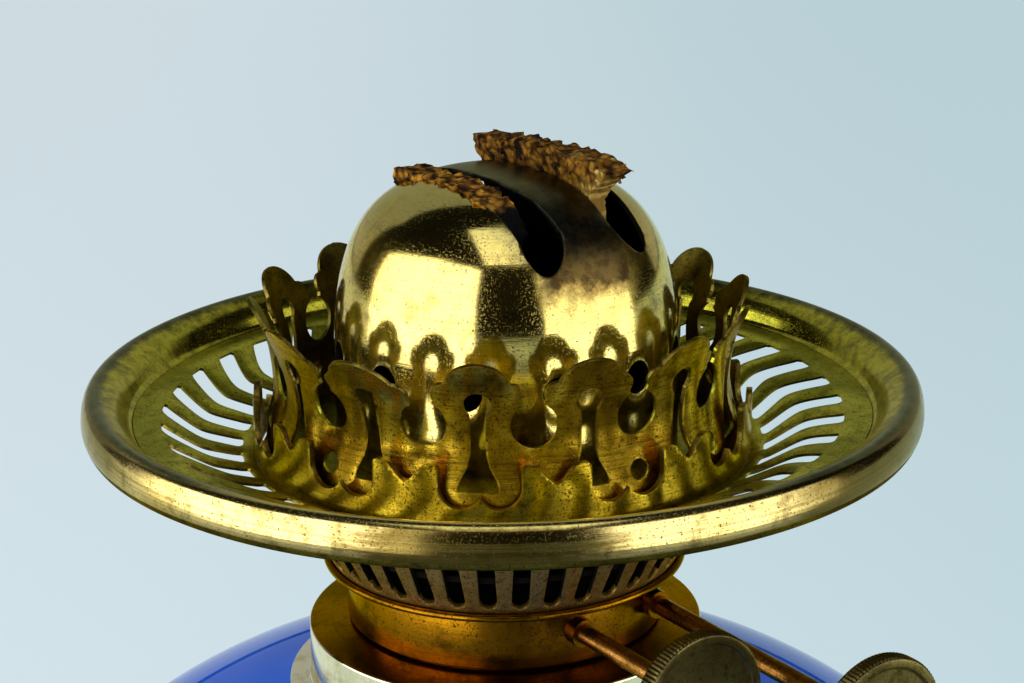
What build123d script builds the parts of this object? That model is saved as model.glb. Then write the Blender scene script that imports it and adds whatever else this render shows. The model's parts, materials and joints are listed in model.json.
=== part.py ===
from build123d import *
from math import acos, cos, degrees, radians, sin, sqrt
import os

os.makedirs("parts", exist_ok=True)

# Sizes in millimetres. X runs along the winder shafts, Z is up, the foot stands on Z = 0.

# Stand
foot_radius = 60.0
foot_height = 30.0
foot_sheet = 1.2
column_height = 44.0
column_waist = 11.0
base_plate_thickness = 2.0
ballast_height = 12.0
rod_radius = 3.0
nut_flat_radius = 5.5
nut_height = 4.0
washer_thickness = 1.2
cup_radius = 31.0
cup_room = 8.0
plaster_gap = 0.8

# Glass fount and its collar
fount_radius = 76.0
fount_height = 96.2
glass_wall = 3.5
neck_wall = 2.7
neck_rise = 6.8
collar_height = 9.9
collar_crown = 0.9
collar_wall = 0.8
flange_width = 3.0
flange_thickness = 1.4
lip_thickness = 1.2

# Burner
burner_radius = 21.8
burner_height = 8.1
spigot_step = 1.2
spigot_depth = 8.0
lug_reach = 1.5
lug_height = 1.6
lug_arc = 24.0
lug_turn = 30.0
band_step = 2.2
band_flare = 7.4
band_height = 13.9
band_slot_count = 38
band_slot_width = 2.3
bead_radius = 0.5
diffuser_rise = 5.0
diffuser_hole_count = 16
diffuser_hole_radius = 1.6

# Wicks and wick tubes
wick_width = 25.0
wick_thickness = 2.8
wick_spacing = 13.6
wick_a_proud = -0.45
wick_b_proud = 3.05
wick_dip = 35.0
wick_raise = 4.0
wick_lower = 8.0
tube_drop = 8.2
tube_tail = 6.0
tube_wall = 0.5

# Winders
shaft_radius = 1.25
bush_wall = 0.6
knob_radius = 9.2
knob_thickness = 2.0
knob_border = 1.3
knob_border_rise = 0.35
knob_boss_radius = 2.6
knob_boss_length = 3.0
knob_a_reach = 48.2
knob_b_reach = 65.8
wheel_width = 2.0
wheel_teeth = 8
wheel_root_radius = 2.1
wheel_pair = 13.0
tooth_bite = 0.5
bearing_thickness = 1.0

# Gallery
sheet = 0.8
pan_depth = 5.8
pan_width = 22.8
upstand_step = 2.8
upstand_height = 2.9
upstand_motifs = 11
upstand_turn = -38.0
chevron_count = 36
chevron_width = 3.2
chevron_sweep = 6.1
chevron_turn = 7.5
chimney_gap = 7.7
seat_rise = 0.3
coronet_sheet = 0.7
petal_count = 14
petal_height = 16.0
petal_turn = -38.7
dome_radius = 23.2
dome_height = 31.95
dome_sheet = 0.7
dome_spring = 3.3
dome_squareness = 3.15
dome_slot_width = 5.2
dome_slot_overrun = 6.9
dome_hole_count = 14
dome_hole_radius = 1.75
dome_hole_height = 9.3
dome_hole_turn = -18.2

# Clearances
running_clear = 0.05
fixed_clear = 0.02
body_clear = 0.3
wick_clear = 0.3
shaft_room = 0.6
groove_clear = 0.5

# Stand heights
column_top = foot_height + column_height
fount_half = fount_height / 2
fount_centre = column_top + cup_room + fount_half


def fount_top_at(r):
    return fount_centre + fount_half * sqrt(1 - (r / fount_radius) ** 2)


def fount_bottom_at(r):
    return fount_centre - fount_half * sqrt(1 - (r / fount_radius) ** 2)


# Radii from the burner outward to the collar
spigot_radius = burner_radius - spigot_step
lug_radius = spigot_radius + lug_reach
neck_inner = lug_radius + groove_clear + body_clear
neck_outer = neck_inner + neck_wall
collar_inner = neck_outer + plaster_gap
collar_radius = collar_inner + collar_wall
flange_radius = collar_radius + flange_width
lip_radius = spigot_radius + body_clear

# Heights from the fount upward
flange_z = fount_top_at(flange_radius) + 2 * running_clear
collar_shoulder = flange_z + collar_height
burner_seat = collar_shoulder + collar_crown
cup_bottom = burner_seat + body_clear
floor_z = cup_bottom + burner_height
floor_top = floor_z + sheet
band_top = floor_top + band_height
ring_z = band_top + body_clear
seat_z = ring_z + sheet
rim_z = seat_z + pan_depth
diffuser_z = floor_top + diffuser_rise
dome_top = rim_z + dome_height
tube_top = dome_top - tube_drop
neck_top = fount_top_at(neck_outer) + neck_rise

# Radii of band and gallery
cup_inner = burner_radius - sheet
band_radius = burner_radius + band_step
band_top_radius = band_radius + band_flare
coronet_waist = dome_radius + chimney_gap
upstand_radius = coronet_waist + upstand_step
upstand_inner = upstand_radius - sheet
rim_radius = upstand_radius + pan_width
skirt_inner = dome_radius + 0.4
dome_inner = dome_radius - dome_sheet

# Wick, tube and winder positions across the burner
wick_lateral = wick_spacing / 2
tube_inner_half = wick_thickness / 2 + wick_clear
tube_half = tube_inner_half + tube_wall
tube_inner_reach = wick_width / 2 + wick_clear
tube_reach = tube_inner_reach + tube_wall
shaft_offset = tube_half + shaft_room + shaft_radius
wheel_tip = shaft_offset - wick_thickness / 2 + tooth_bite
winder_z = floor_z - wheel_tip - body_clear
tube_bottom = winder_z - wheel_tip - tube_tail
shaft_a_lateral = shaft_offset - wick_lateral
shaft_b_lateral = shaft_offset + wick_lateral
bush_bore = shaft_radius + running_clear
bush_radius = bush_bore + bush_wall


def spun(points):
    return revolve(Plane.XZ * make_face(Polyline(*points, close=True)), Axis.Z)


def ring(outer, inner, z0, z1):
    return spun([(inner, z0), (outer, z0), (outer, z1), (inner, z1)])


def disc(radius, z0, z1):
    return Pos(0, 0, z0) * extrude(Circle(radius), amount=z1 - z0)


def along_x(sketch, x0, x1, y, z):
    return Pos(x0, y, z) * extrude(Plane.YZ * sketch, amount=x1 - x0)


def at(r, angle):
    return (r * cos(radians(angle)), r * sin(radians(angle)))


def outward(sketch, angle, start, reach):
    a = radians(angle)
    wall = Plane(origin=at(start, angle), x_dir=(-sin(a), cos(a), 0), z_dir=(cos(a), sin(a), 0))
    return extrude(wall * sketch, amount=reach - start)


def sector(outer, inner, middle, arc, z0, z1):
    steps = 6
    angles = [middle - arc / 2 + arc * i / steps for i in range(steps + 1)]
    outline = [at(outer, a) for a in angles]
    outline += [at(inner, a) for a in reversed(angles)]
    return Pos(0, 0, z0) * extrude(make_face(Polyline(*outline, close=True)), amount=z1 - z0)


# Foot: a stepped bell with an ogee rising to the column
foot_outline = [
    (foot_radius, 0.0),
    (foot_radius, foot_height * 0.10),
    (foot_radius * 0.975, foot_height * 0.16),
    (foot_radius * 0.86, foot_height * 0.20),
    (foot_radius * 0.84, foot_height * 0.34),
    (foot_radius * 0.72, foot_height * 0.44),
    (foot_radius * 0.52, foot_height * 0.56),
    (foot_radius * 0.38, foot_height * 0.72),
    (foot_radius * 0.30, foot_height * 0.90),
    (foot_radius * 0.29, foot_height),
]
lining_start = base_plate_thickness + fixed_clear
foot_lining = [(r - foot_sheet, max(z - foot_sheet, lining_start)) for r, z in foot_outline[1:-1]]
foot_lining.append((foot_outline[-1][0] - foot_sheet, foot_height))
base_foot = spun(foot_outline + foot_lining[::-1] + [(foot_radius - foot_sheet, 0.0)])

rod_bore = rod_radius + running_clear
recess_radius = nut_flat_radius * 1.6
ballast_radius = foot_radius * 0.5
ballast_z = base_plate_thickness
recess_top = ballast_z + nut_height + washer_thickness
base_plate = ring(foot_radius - foot_sheet - fixed_clear, recess_radius, 0.0, base_plate_thickness)
ballast = ring(ballast_radius, rod_bore, ballast_z, ballast_z + ballast_height)
ballast -= disc(recess_radius, ballast_z - 1, recess_top)
rod_washer = ring(recess_radius - body_clear, rod_bore, recess_top - washer_thickness, recess_top)


def hex_nut(z0):
    body = extrude(RegularPolygon(nut_flat_radius, 6, major_radius=False), amount=nut_height)
    bore = extrude(Circle(rod_radius + fixed_clear), amount=nut_height)
    return Pos(0, 0, z0) * (body - bore)


cup_floor_z = column_top
cup_floor_top = cup_floor_z + foot_sheet
rod_nut_lower = hex_nut(ballast_z)
rod_nut_upper = hex_nut(cup_floor_top)
rod_bottom = ballast_z + 0.4
tie_rod = disc(rod_radius, rod_bottom, cup_floor_top + nut_height + 0.6)

# Column: waisted stem between foot and cup
stem_foot = foot_outline[-1][0]
stem_top = cup_radius * 0.45
stem_outline = [
    (stem_foot, foot_height),
    (stem_foot, foot_height + column_height * 0.08),
    (column_waist * 1.2, foot_height + column_height * 0.20),
    (column_waist, foot_height + column_height * 0.42),
    (column_waist, foot_height + column_height * 0.60),
    (column_waist * 1.12, foot_height + column_height * 0.80),
    (stem_top, foot_height + column_height * 0.92),
    (stem_top, column_top),
]
stem_lining = [(r - 2 * foot_sheet, z) for r, z in stem_outline]
column = spun(stem_outline + stem_lining[::-1])


def cup_lining_at(r):
    return fount_bottom_at(r) - plaster_gap


# Cup: floor, flare and lip bedded on the underside of the fount
cup_inside = [
    (rod_bore, cup_floor_top),
    (cup_radius * 0.45, cup_floor_top),
    (cup_radius * 0.64, cup_lining_at(cup_radius * 0.64)),
    (cup_radius * 0.80, cup_lining_at(cup_radius * 0.80)),
    (cup_radius, cup_lining_at(cup_radius)),
]
cup_outside = [
    (cup_radius + foot_sheet, cup_lining_at(cup_radius) + 0.3),
    (cup_radius + foot_sheet, cup_lining_at(cup_radius) - foot_sheet),
    (cup_radius * 0.85, cup_lining_at(cup_radius * 0.8) - 2 * foot_sheet),
    (cup_radius * 0.62, cup_floor_top + cup_room * 0.35),
    (cup_radius * 0.47, cup_floor_z),
    (rod_bore, cup_floor_z),
]
fount_cup = spun(cup_inside + cup_outside)

bed_radii = [cup_radius * k for k in (0.66, 0.74, 0.82, 0.90, 0.98)]
bed_under = [(r, cup_lining_at(r) + 3 * fixed_clear) for r in bed_radii]
bed_over = [(r, fount_bottom_at(r) - running_clear) for r in bed_radii]
cup_plaster = spun(bed_under + bed_over[::-1])

# Fount: a flattened globe with a short neck
inner_radius = fount_radius - glass_wall
inner_half = fount_half - glass_wall
outer_angle = degrees(acos(neck_outer / fount_radius))
inner_angle = degrees(acos(neck_inner / inner_radius))
globe_outer = EllipticalCenterArc((0, fount_centre), fount_radius, fount_half, -90, arc_size=outer_angle + 90)
globe_inner = EllipticalCenterArc((0, fount_centre), inner_radius, inner_half, -90, arc_size=inner_angle + 90)
neck_line = Polyline(globe_outer @ 1, (neck_outer, neck_top), (neck_inner, neck_top), globe_inner @ 1)
pole_line = Line(globe_inner @ 0, globe_outer @ 0)
fount_section = make_face(Curve() + [globe_outer, neck_line, globe_inner, pole_line])
glass_fount = revolve(Plane.XZ * fount_section, Axis.Z)

# Collar: flanged ring with a lip that the burner's lugs lock under
collar_outline = [
    (flange_radius, flange_z),
    (flange_radius, flange_z + flange_thickness),
    (collar_radius + flange_width * 0.25, flange_z + flange_thickness * 1.3),
    (collar_radius, flange_z + flange_thickness * 1.9),
    (collar_radius, collar_shoulder - 0.4),
    (collar_radius - 0.4, collar_shoulder),
    (lip_radius, burner_seat),
    (lip_radius, burner_seat - lip_thickness),
    (collar_inner, collar_shoulder - lip_thickness),
    (collar_inner, fount_top_at(collar_inner) + 2 * running_clear),
]
collar = spun(collar_outline)
lip_slope = collar_crown / (collar_radius - 0.4 - lip_radius)
lug_top = burner_seat - lip_thickness - lip_slope * (lug_radius - lip_radius) - 2 * body_clear
lug_angles = (90.0, 270.0)
for angle in lug_angles:
    entry = sector(lug_radius + groove_clear, lip_radius - 1, angle + lug_turn, lug_arc + 4, lug_top, burner_seat + 1)
    collar -= entry
collar_plaster = ring(collar_inner - fixed_clear, neck_outer + fixed_clear, fount_top_at(neck_outer) + 0.3, neck_top)

# Burner cup: outer cylinder, spigot and bayonet lugs
cup_outline = [
    (burner_radius, cup_bottom),
    (burner_radius, floor_z),
    (cup_inner, floor_z),
    (cup_inner, cup_bottom + sheet),
    (spigot_radius - sheet, cup_bottom + sheet),
    (spigot_radius - sheet, burner_seat - spigot_depth),
    (spigot_radius, burner_seat - spigot_depth),
    (spigot_radius, cup_bottom),
]
burner_cup = spun(cup_outline)
for angle in lug_angles:
    burner_cup += sector(lug_radius, spigot_radius - sheet / 2, angle, lug_arc, lug_top - lug_height, lug_top)


def bush_span(lateral):
    inner = sqrt(cup_inner ** 2 - (abs(lateral) + bush_radius) ** 2) - 1.0
    outer = sqrt(burner_radius ** 2 - max(abs(lateral) - bush_radius, 0) ** 2) + 1.5
    return inner, outer


def winder_bush(lateral):
    inner, outer = bush_span(lateral)
    return along_x(Circle(bush_radius) - Circle(bush_bore), inner, outer, lateral, winder_z)


for lateral in (shaft_a_lateral, shaft_b_lateral):
    inner, outer = bush_span(lateral)
    burner_cup -= along_x(Circle(bush_radius + fixed_clear), inner - 1, outer, lateral, winder_z)
winder_bush_a = winder_bush(shaft_a_lateral)
winder_bush_b = winder_bush(shaft_b_lateral)

# Floor plate and diffuser, both pierced by the two wick tubes
tube_hole = RectangleRounded(2 * (tube_reach + fixed_clear), 2 * (tube_half + fixed_clear), tube_wall)
tube_holes = Pos(0, wick_lateral) * tube_hole + Pos(0, -wick_lateral) * tube_hole
floor_radius = band_radius - 2 * fixed_clear
burner_floor = Pos(0, 0, floor_z) * extrude(Circle(floor_radius) - tube_holes, amount=sheet)


def band_inner_at(z):
    return band_radius - sheet + band_flare * (z - floor_top) / band_height


locating_radius = skirt_inner - body_clear
locating_inner = locating_radius - sheet
diffuser_radius = band_inner_at(diffuser_z) - running_clear
hole_circle = (locating_inner + tube_reach + 1.5) / 2
air_holes = [Pos(*at(hole_circle, 360 * i / diffuser_hole_count)) * Circle(diffuser_hole_radius)
             for i in range(diffuser_hole_count)]
diffuser = Pos(0, 0, diffuser_z) * extrude(Circle(diffuser_radius) - tube_holes - air_holes, amount=sheet)
diffuser += ring(locating_radius, locating_inner, diffuser_z, ring_z - 2.4)

# Air band: flared sheet with a row of upright slots, and the bead below it
air_band = spun([
    (band_radius, floor_top),
    (band_top_radius, band_top),
    (band_top_radius - sheet, band_top),
    (band_radius - sheet, floor_top),
])
half = band_slot_width / 2
slot_low = floor_top + 0.8
slot_high = band_top - 1.6
slot_outline = Polyline(
    (-half, slot_high),
    (-half, slot_low + half),
    (-half * 0.6, slot_low + half * 0.25),
    (0, slot_low),
    (half * 0.6, slot_low + half * 0.25),
    (half, slot_low + half),
    (half, slot_high),
    close=True,
)
band_slot = make_face(slot_outline)
slot_start = band_radius - 3 * sheet
slot_end = band_top_radius + sheet
slot_pitch = 360 / band_slot_count
air_band -= [outward(band_slot, slot_pitch * i, slot_start, slot_end) for i in range(band_slot_count)]
bead_section = Plane.XZ * Pos(band_radius + bead_radius, floor_z + sheet / 2) * RegularPolygon(bead_radius, 12)
bead_ring = revolve(bead_section, Axis.Z)

# Wick tubes with windows for the spur wheels
window_half = sqrt(wheel_tip ** 2 - (shaft_offset - tube_half) ** 2) + 2 * body_clear
wheel_places = (-wheel_pair / 2, wheel_pair / 2)


def wick_tube(lateral):
    wall = RectangleRounded(2 * tube_reach, 2 * tube_half, tube_wall)
    wall -= Rectangle(2 * tube_inner_reach, 2 * tube_inner_half)
    tube = Pos(0, lateral, tube_bottom) * extrude(wall, amount=tube_top - tube_bottom)
    for x in wheel_places:
        window = Box(wheel_width + 4 * body_clear, 2 * tube_half, 2 * window_half)
        tube -= Pos(x, lateral + tube_half, winder_z) * window
    return tube


wick_tube_a = wick_tube(-wick_lateral)
wick_tube_b = wick_tube(wick_lateral)

# Bearing plate that carries the inner ends of both winder shafts
bearing_x = -(tube_reach + 2 * body_clear)
bearing_low = winder_z - bush_radius - body_clear
bearing_left = shaft_a_lateral - 2 * bush_radius
bearing_right = sqrt(cup_inner ** 2 - (bearing_x - bearing_thickness) ** 2) - body_clear
bearing_blank = Pos((bearing_left + bearing_right) / 2, (bearing_low + floor_z) / 2) * Rectangle(
    bearing_right - bearing_left, floor_z - bearing_low)
for lateral in (shaft_a_lateral, shaft_b_lateral):
    bearing_blank -= Pos(lateral, winder_z) * Circle(bush_bore)
bearing_plate = along_x(bearing_blank, bearing_x - bearing_thickness, bearing_x, 0, 0)

# Winders: shaft, pair of spur wheels and knob
shaft_start = bearing_x - bearing_thickness - 0.5
wheel_bore = shaft_radius + fixed_clear


def wheel_outline():
    points = []
    pitch = 360 / wheel_teeth
    for i in range(wheel_teeth):
        centre = i * pitch
        points.append(at(wheel_root_radius, centre - pitch * 0.30))
        points.append(at(wheel_tip, centre - pitch * 0.08))
        points.append(at(wheel_tip, centre + pitch * 0.08))
        points.append(at(wheel_root_radius, centre + pitch * 0.30))
    return make_face(Polyline(*points, close=True)) - Circle(wheel_bore)


def spur_wheels(lateral):
    wheels = [along_x(wheel_outline(), x - wheel_width / 2, x + wheel_width / 2, lateral, winder_z)
              for x in wheel_places]
    return Compound(children=wheels)


def winder_shaft(lateral, reach):
    return along_x(Circle(shaft_radius), shaft_start, reach - knob_thickness / 2, lateral, winder_z)


def winder_knob(lateral, reach):
    back = reach - knob_thickness
    knob = along_x(Circle(knob_radius), back, reach, lateral, winder_z)
    knob += along_x(Circle(knob_radius) - Circle(knob_radius - knob_border), reach, reach + knob_border_rise,
                    lateral, winder_z)
    knob += along_x(Circle(knob_boss_radius), back - knob_boss_length, back, lateral, winder_z)
    bore_end = reach - knob_thickness / 2
    return knob - along_x(Circle(wheel_bore), back - knob_boss_length - 1, bore_end, lateral, winder_z)


winder_shaft_a = winder_shaft(shaft_a_lateral, knob_a_reach)
winder_shaft_b = winder_shaft(shaft_b_lateral, knob_b_reach)
spur_wheels_a = spur_wheels(shaft_a_lateral)
spur_wheels_b = spur_wheels(shaft_b_lateral)
winder_knob_a = winder_knob(shaft_a_lateral, knob_a_reach)
winder_knob_b = winder_knob(shaft_b_lateral, knob_b_reach)

# Wicks: flat woven strips with two worn tracks where the spur wheels bite
track_depth = tooth_bite + wick_clear
track_half = sqrt(wheel_tip ** 2 - (shaft_offset - wick_thickness / 2) ** 2) + wick_clear
track_low = winder_z - track_half - wick_raise
track_high = winder_z + track_half + wick_lower


def wick(lateral, proud):
    bottom = fount_centre - wick_dip
    top = dome_top + proud
    strip = Pos(0, lateral, (bottom + top) / 2) * Box(wick_width, wick_thickness, top - bottom)
    for x in wheel_places:
        track = Box(wheel_width + 4 * wick_clear, 2 * track_depth, track_high - track_low)
        strip -= Pos(x, lateral + wick_thickness / 2, (track_low + track_high) / 2) * track
    return strip


wick_a = wick(-wick_lateral, wick_a_proud)
wick_b = wick(wick_lateral, wick_b_proud)

# Gallery ring: the chimney's seat on a raised land, with a skirt that locates on the diffuser
land_inner = dome_radius + body_clear
land_outer = coronet_waist - coronet_sheet - body_clear
gallery_ring = spun([
    (dome_inner - 0.5, ring_z),
    (skirt_inner, ring_z),
    (skirt_inner, ring_z - 5.4),
    (skirt_inner + sheet, ring_z - 5.4),
    (skirt_inner + sheet, ring_z),
    (upstand_inner - running_clear, ring_z),
    (upstand_inner - running_clear, seat_z),
    (land_outer, seat_z),
    (land_outer, seat_z + seat_rise),
    (land_inner, seat_z + seat_rise),
    (land_inner, seat_z),
    (dome_inner - 0.5, seat_z),
])

# Shade pan: fretted upstand, dished floor, rolled rim
floor_edge = rim_radius - 10.0
crease = rim_radius - 6.4
pan_upper = [
    (upstand_inner, rim_z + upstand_height),
    (upstand_radius, rim_z + upstand_height),
    (upstand_radius, seat_z + 0.3),
    (upstand_radius + 0.8, seat_z + 0.5),
    (floor_edge, rim_z),
    (crease, rim_z),
    (crease + 0.9, rim_z + 2.1),
    (rim_radius - 3.2, rim_z + 3.7),
    (rim_radius - 1.9, rim_z + 4.2),
    (rim_radius - 0.8, rim_z + 3.6),
    (rim_radius - 0.15, rim_z + 2.2),
    (rim_radius, rim_z + 0.5),
    (rim_radius - 0.6, rim_z - 1.3),
]
pan_under = [
    (rim_radius - 0.6 - sheet, rim_z - 1.3),
    (rim_radius - sheet, rim_z + 0.5),
    (rim_radius - 0.1 - sheet, rim_z + 2.0),
    (rim_radius - 1.9, rim_z + 4.2 - sheet),
    (rim_radius - 2.8, rim_z + 3.7 - sheet),
    (crease + 1.6, rim_z + 1.6),
    (crease + 0.7, rim_z - 0.5),
    (floor_edge + 0.2, rim_z - sheet),
    (upstand_radius, ring_z),
    (upstand_inner, ring_z),
]
gallery_pan = spun(pan_upper + pan_under)

lobe_radius = upstand_radius * 0.0816
lobe_apart = lobe_radius * 0.89
fret = Pos(-lobe_apart, rim_z) * Circle(lobe_radius) + Pos(lobe_apart, rim_z) * Circle(lobe_radius)
fret += Pos(0, rim_z + upstand_height) * Rectangle(2 * (lobe_apart + lobe_radius), 2 * upstand_height)
vee = make_face(Polyline(
    (0, rim_z + upstand_height * 0.19),
    (lobe_radius * 0.35, rim_z + upstand_height * 0.40),
    (lobe_radius * 0.80, rim_z + upstand_height * 0.86),
    (lobe_radius * 1.20, rim_z + upstand_height + 0.1),
    (-lobe_radius * 1.20, rim_z + upstand_height + 0.1),
    (-lobe_radius * 0.80, rim_z + upstand_height * 0.86),
    (-lobe_radius * 0.35, rim_z + upstand_height * 0.40),
    close=True,
))
motif = 360 / upstand_motifs
fret_start = upstand_inner - 3 * sheet
fret_end = upstand_radius + sheet
fret_cuts = [outward(fret, upstand_turn + motif * i, fret_start, fret_end) for i in range(upstand_motifs)]
fret_cuts += [outward(vee, upstand_turn + motif * (i + 0.5), fret_start, fret_end) for i in range(upstand_motifs)]
gallery_pan -= fret_cuts

chevron_outer = floor_edge - 0.5
chevron_inner = upstand_radius + 1.6
chevron_bend = (chevron_outer + chevron_inner) / 2


def chevron(angle):
    outline = []
    for r, turn in ((chevron_outer, 0.0), (chevron_bend, chevron_sweep), (chevron_inner, chevron_sweep * 0.22)):
        outline.append((r, angle + turn - degrees(chevron_width / 2 / r)))
    for r, turn in ((chevron_inner, chevron_sweep * 0.22), (chevron_bend, chevron_sweep), (chevron_outer, 0.0)):
        outline.append((r, angle + turn + degrees(chevron_width / 2 / r)))
    face = make_face(Polyline(*[at(r, a) for r, a in outline], close=True))
    return Pos(0, 0, ring_z - 1) * extrude(face, amount=pan_depth + 2)


gallery_pan -= [chevron(chevron_turn + 360 / chevron_count * i) for i in range(chevron_count)]

# Coronet: waisted sprung ring cut into keyhole petals
coronet_outline = [
    (coronet_waist + 1.6, seat_z),
    (coronet_waist + 0.5, rim_z),
    (coronet_waist, rim_z + petal_height * 0.25),
    (coronet_waist + 0.3, rim_z + petal_height * 0.50),
    (coronet_waist + 1.1, rim_z + petal_height * 0.71),
    (coronet_waist + 3.3, rim_z + petal_height + 0.2),
]
coronet_lining = [(r - coronet_sheet, z) for r, z in coronet_outline]
coronet = spun(coronet_outline + coronet_lining[::-1])

petal_half = (coronet_waist + 2.4) * sin(radians(180 / petal_count))
notch_radius = petal_half * 0.41
notch_z = rim_z + petal_height * 0.453
crown_radius = petal_half * 0.60
crown_z = rim_z + petal_height - crown_radius
ear_radius = petal_half * 0.21
ear_place = petal_half * 0.41
ear_z = crown_z - ear_radius * 0.1
throat_half = ear_place - ear_radius
sky = Pos(0, ear_z + petal_height / 2) * Rectangle(2 * petal_half + 3, petal_height)
for side in (-1, 1):
    sky -= Pos(side * petal_half, crown_z) * Circle(crown_radius)
    sky -= Pos(side * ear_place, ear_z) * Circle(ear_radius)
gap = sky + Pos(0, notch_z) * Circle(notch_radius)
gap += Pos(0, (notch_z + ear_z) / 2) * Rectangle(2 * throat_half, ear_z - notch_z)

key_radius = petal_half * 0.24
key_z = rim_z + petal_height * 0.63
keyhole = Pos(0, key_z) * Circle(key_radius) + make_face(Polyline(
    (key_radius * 0.55, key_z),
    (key_radius * 0.52, rim_z + petal_height * 0.34),
    (key_radius * 0.75, rim_z + petal_height * 0.14),
    (key_radius * 1.45, rim_z - 0.4),
    (key_radius * 1.45, rim_z - 1.2),
    (-key_radius * 1.45, rim_z - 1.2),
    (-key_radius * 1.45, rim_z - 0.4),
    (-key_radius * 0.75, rim_z + petal_height * 0.14),
    (-key_radius * 0.52, rim_z + petal_height * 0.34),
    (-key_radius * 0.55, key_z),
    close=True,
))
eyelet = Pos(0, rim_z - 0.2) * Circle(petal_half * 0.19)
petal = 360 / petal_count
petal_start = coronet_waist - 6 * coronet_sheet
petal_end = coronet_waist + 6 * coronet_sheet
gap += eyelet
petal_cuts = [outward(keyhole, petal_turn + petal * i, petal_start, petal_end) for i in range(petal_count)]
petal_cuts += [outward(gap, petal_turn + petal * (i + 0.5), petal_start, petal_end) for i in range(petal_count)]
coronet -= petal_cuts


# Dome: straight wall that closes over in a squared-off round
def dome_points(radius, top):
    spring = rim_z + dome_spring
    rise = top - spring
    points = []
    for t in (0.0, 0.22, 0.42, 0.60, 0.75, 0.86, 0.94):
        points.append((radius * (1 - t ** dome_squareness) ** (1 / dome_squareness), spring + rise * t))
    for share in (0.45, 0.22):
        points.append((radius * share, spring + rise * (1 - share ** dome_squareness) ** (1 / dome_squareness)))
    points.append((0.0, top))
    return points


def dome_curve(radius, top):
    return Spline(*dome_points(radius, top), tangents=[(0, 1), (-1, 0)])


dome_outer_curve = dome_curve(dome_radius, dome_top)
dome_inner_curve = dome_curve(dome_inner, dome_top - dome_sheet)
dome_foot = Polyline(dome_outer_curve @ 0, (dome_radius, seat_z), (dome_inner, seat_z), dome_inner_curve @ 0)
dome_crown = Line(dome_inner_curve @ 1, dome_outer_curve @ 1)
dome_section = make_face(Curve() + [dome_outer_curve, dome_foot, dome_inner_curve, dome_crown])
dome = revolve(Plane.XZ * dome_section, Axis.Z)
slot_length = wick_width + 2 * dome_slot_overrun
for lateral in (-wick_lateral, wick_lateral):
    slot = Pos(0, lateral, rim_z) * extrude(SlotOverall(slot_length, dome_slot_width), amount=2 * dome_height)
    dome -= slot
dome_hole = Pos(0, rim_z + dome_hole_height) * Circle(dome_hole_radius)
hole_pitch = 360 / dome_hole_count
hole_start = dome_inner - 4 * dome_sheet
hole_end = dome_radius + dome_sheet
dome -= [outward(dome_hole, dome_hole_turn + hole_pitch * i, hole_start, hole_end) for i in range(dome_hole_count)]

nodes = {
    "base_plate": base_plate,
    "base_foot": base_foot,
    "ballast": ballast,
    "column": column,
    "fount_cup": fount_cup,
    "tie_rod": tie_rod,
    "rod_washer": rod_washer,
    "rod_nut_lower": rod_nut_lower,
    "rod_nut_upper": rod_nut_upper,
    "cup_plaster": cup_plaster,
    "glass_fount": glass_fount,
    "collar": collar,
    "collar_plaster": collar_plaster,
    "burner_cup": burner_cup,
    "burner_floor": burner_floor,
    "air_band": air_band,
    "bead_ring": bead_ring,
    "diffuser": diffuser,
    "wick_tube_a": wick_tube_a,
    "wick_tube_b": wick_tube_b,
    "winder_bush_a": winder_bush_a,
    "winder_bush_b": winder_bush_b,
    "bearing_plate": bearing_plate,
    "winder_shaft_a": winder_shaft_a,
    "spur_wheels_a": spur_wheels_a,
    "winder_knob_a": winder_knob_a,
    "winder_shaft_b": winder_shaft_b,
    "spur_wheels_b": spur_wheels_b,
    "winder_knob_b": winder_knob_b,
    "wick_a": wick_a,
    "wick_b": wick_b,
    "gallery_pan": gallery_pan,
    "gallery_ring": gallery_ring,
    "coronet": coronet,
    "dome": dome,
}
for name, solid in nodes.items():
    export_step(solid, f"parts/{name}.step")
print("rim_z", round(rim_z, 2), "winder_z", round(winder_z, 2), "seat_z", round(seat_z, 2))
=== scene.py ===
import bpy
import json
import random
from math import acos, atan2, cos, degrees, hypot, inf, pi, radians, sin
from mathutils import Matrix, Vector, noise


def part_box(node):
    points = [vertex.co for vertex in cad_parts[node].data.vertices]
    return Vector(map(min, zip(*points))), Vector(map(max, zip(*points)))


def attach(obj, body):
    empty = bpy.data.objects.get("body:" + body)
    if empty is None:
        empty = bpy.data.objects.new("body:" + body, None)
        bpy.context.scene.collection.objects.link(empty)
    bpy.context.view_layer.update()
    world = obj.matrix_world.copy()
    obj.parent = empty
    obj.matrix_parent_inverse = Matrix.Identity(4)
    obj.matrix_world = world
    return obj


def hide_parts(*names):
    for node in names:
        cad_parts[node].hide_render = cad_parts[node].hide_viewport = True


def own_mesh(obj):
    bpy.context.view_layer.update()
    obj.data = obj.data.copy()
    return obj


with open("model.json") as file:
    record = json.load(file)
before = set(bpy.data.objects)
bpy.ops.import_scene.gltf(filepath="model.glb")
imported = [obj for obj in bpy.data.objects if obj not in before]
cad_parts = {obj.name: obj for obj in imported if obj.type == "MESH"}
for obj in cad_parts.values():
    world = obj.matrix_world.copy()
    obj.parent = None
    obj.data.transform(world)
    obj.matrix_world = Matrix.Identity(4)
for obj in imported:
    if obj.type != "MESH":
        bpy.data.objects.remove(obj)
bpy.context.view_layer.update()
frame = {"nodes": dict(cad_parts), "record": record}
scene = bpy.context.scene
mm = 0.001
tiny = 1e-6
rimTop = 4.2      # top of the rolled rim above its widest circle
landRise = 0.3    # the chimney's raised land above its seat
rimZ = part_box("gallery_pan")[1][2] / mm - rimTop
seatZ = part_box("gallery_ring")[1][2] / mm - landRise
print("frame loaded, rim at", round(rimZ, 2))


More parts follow.
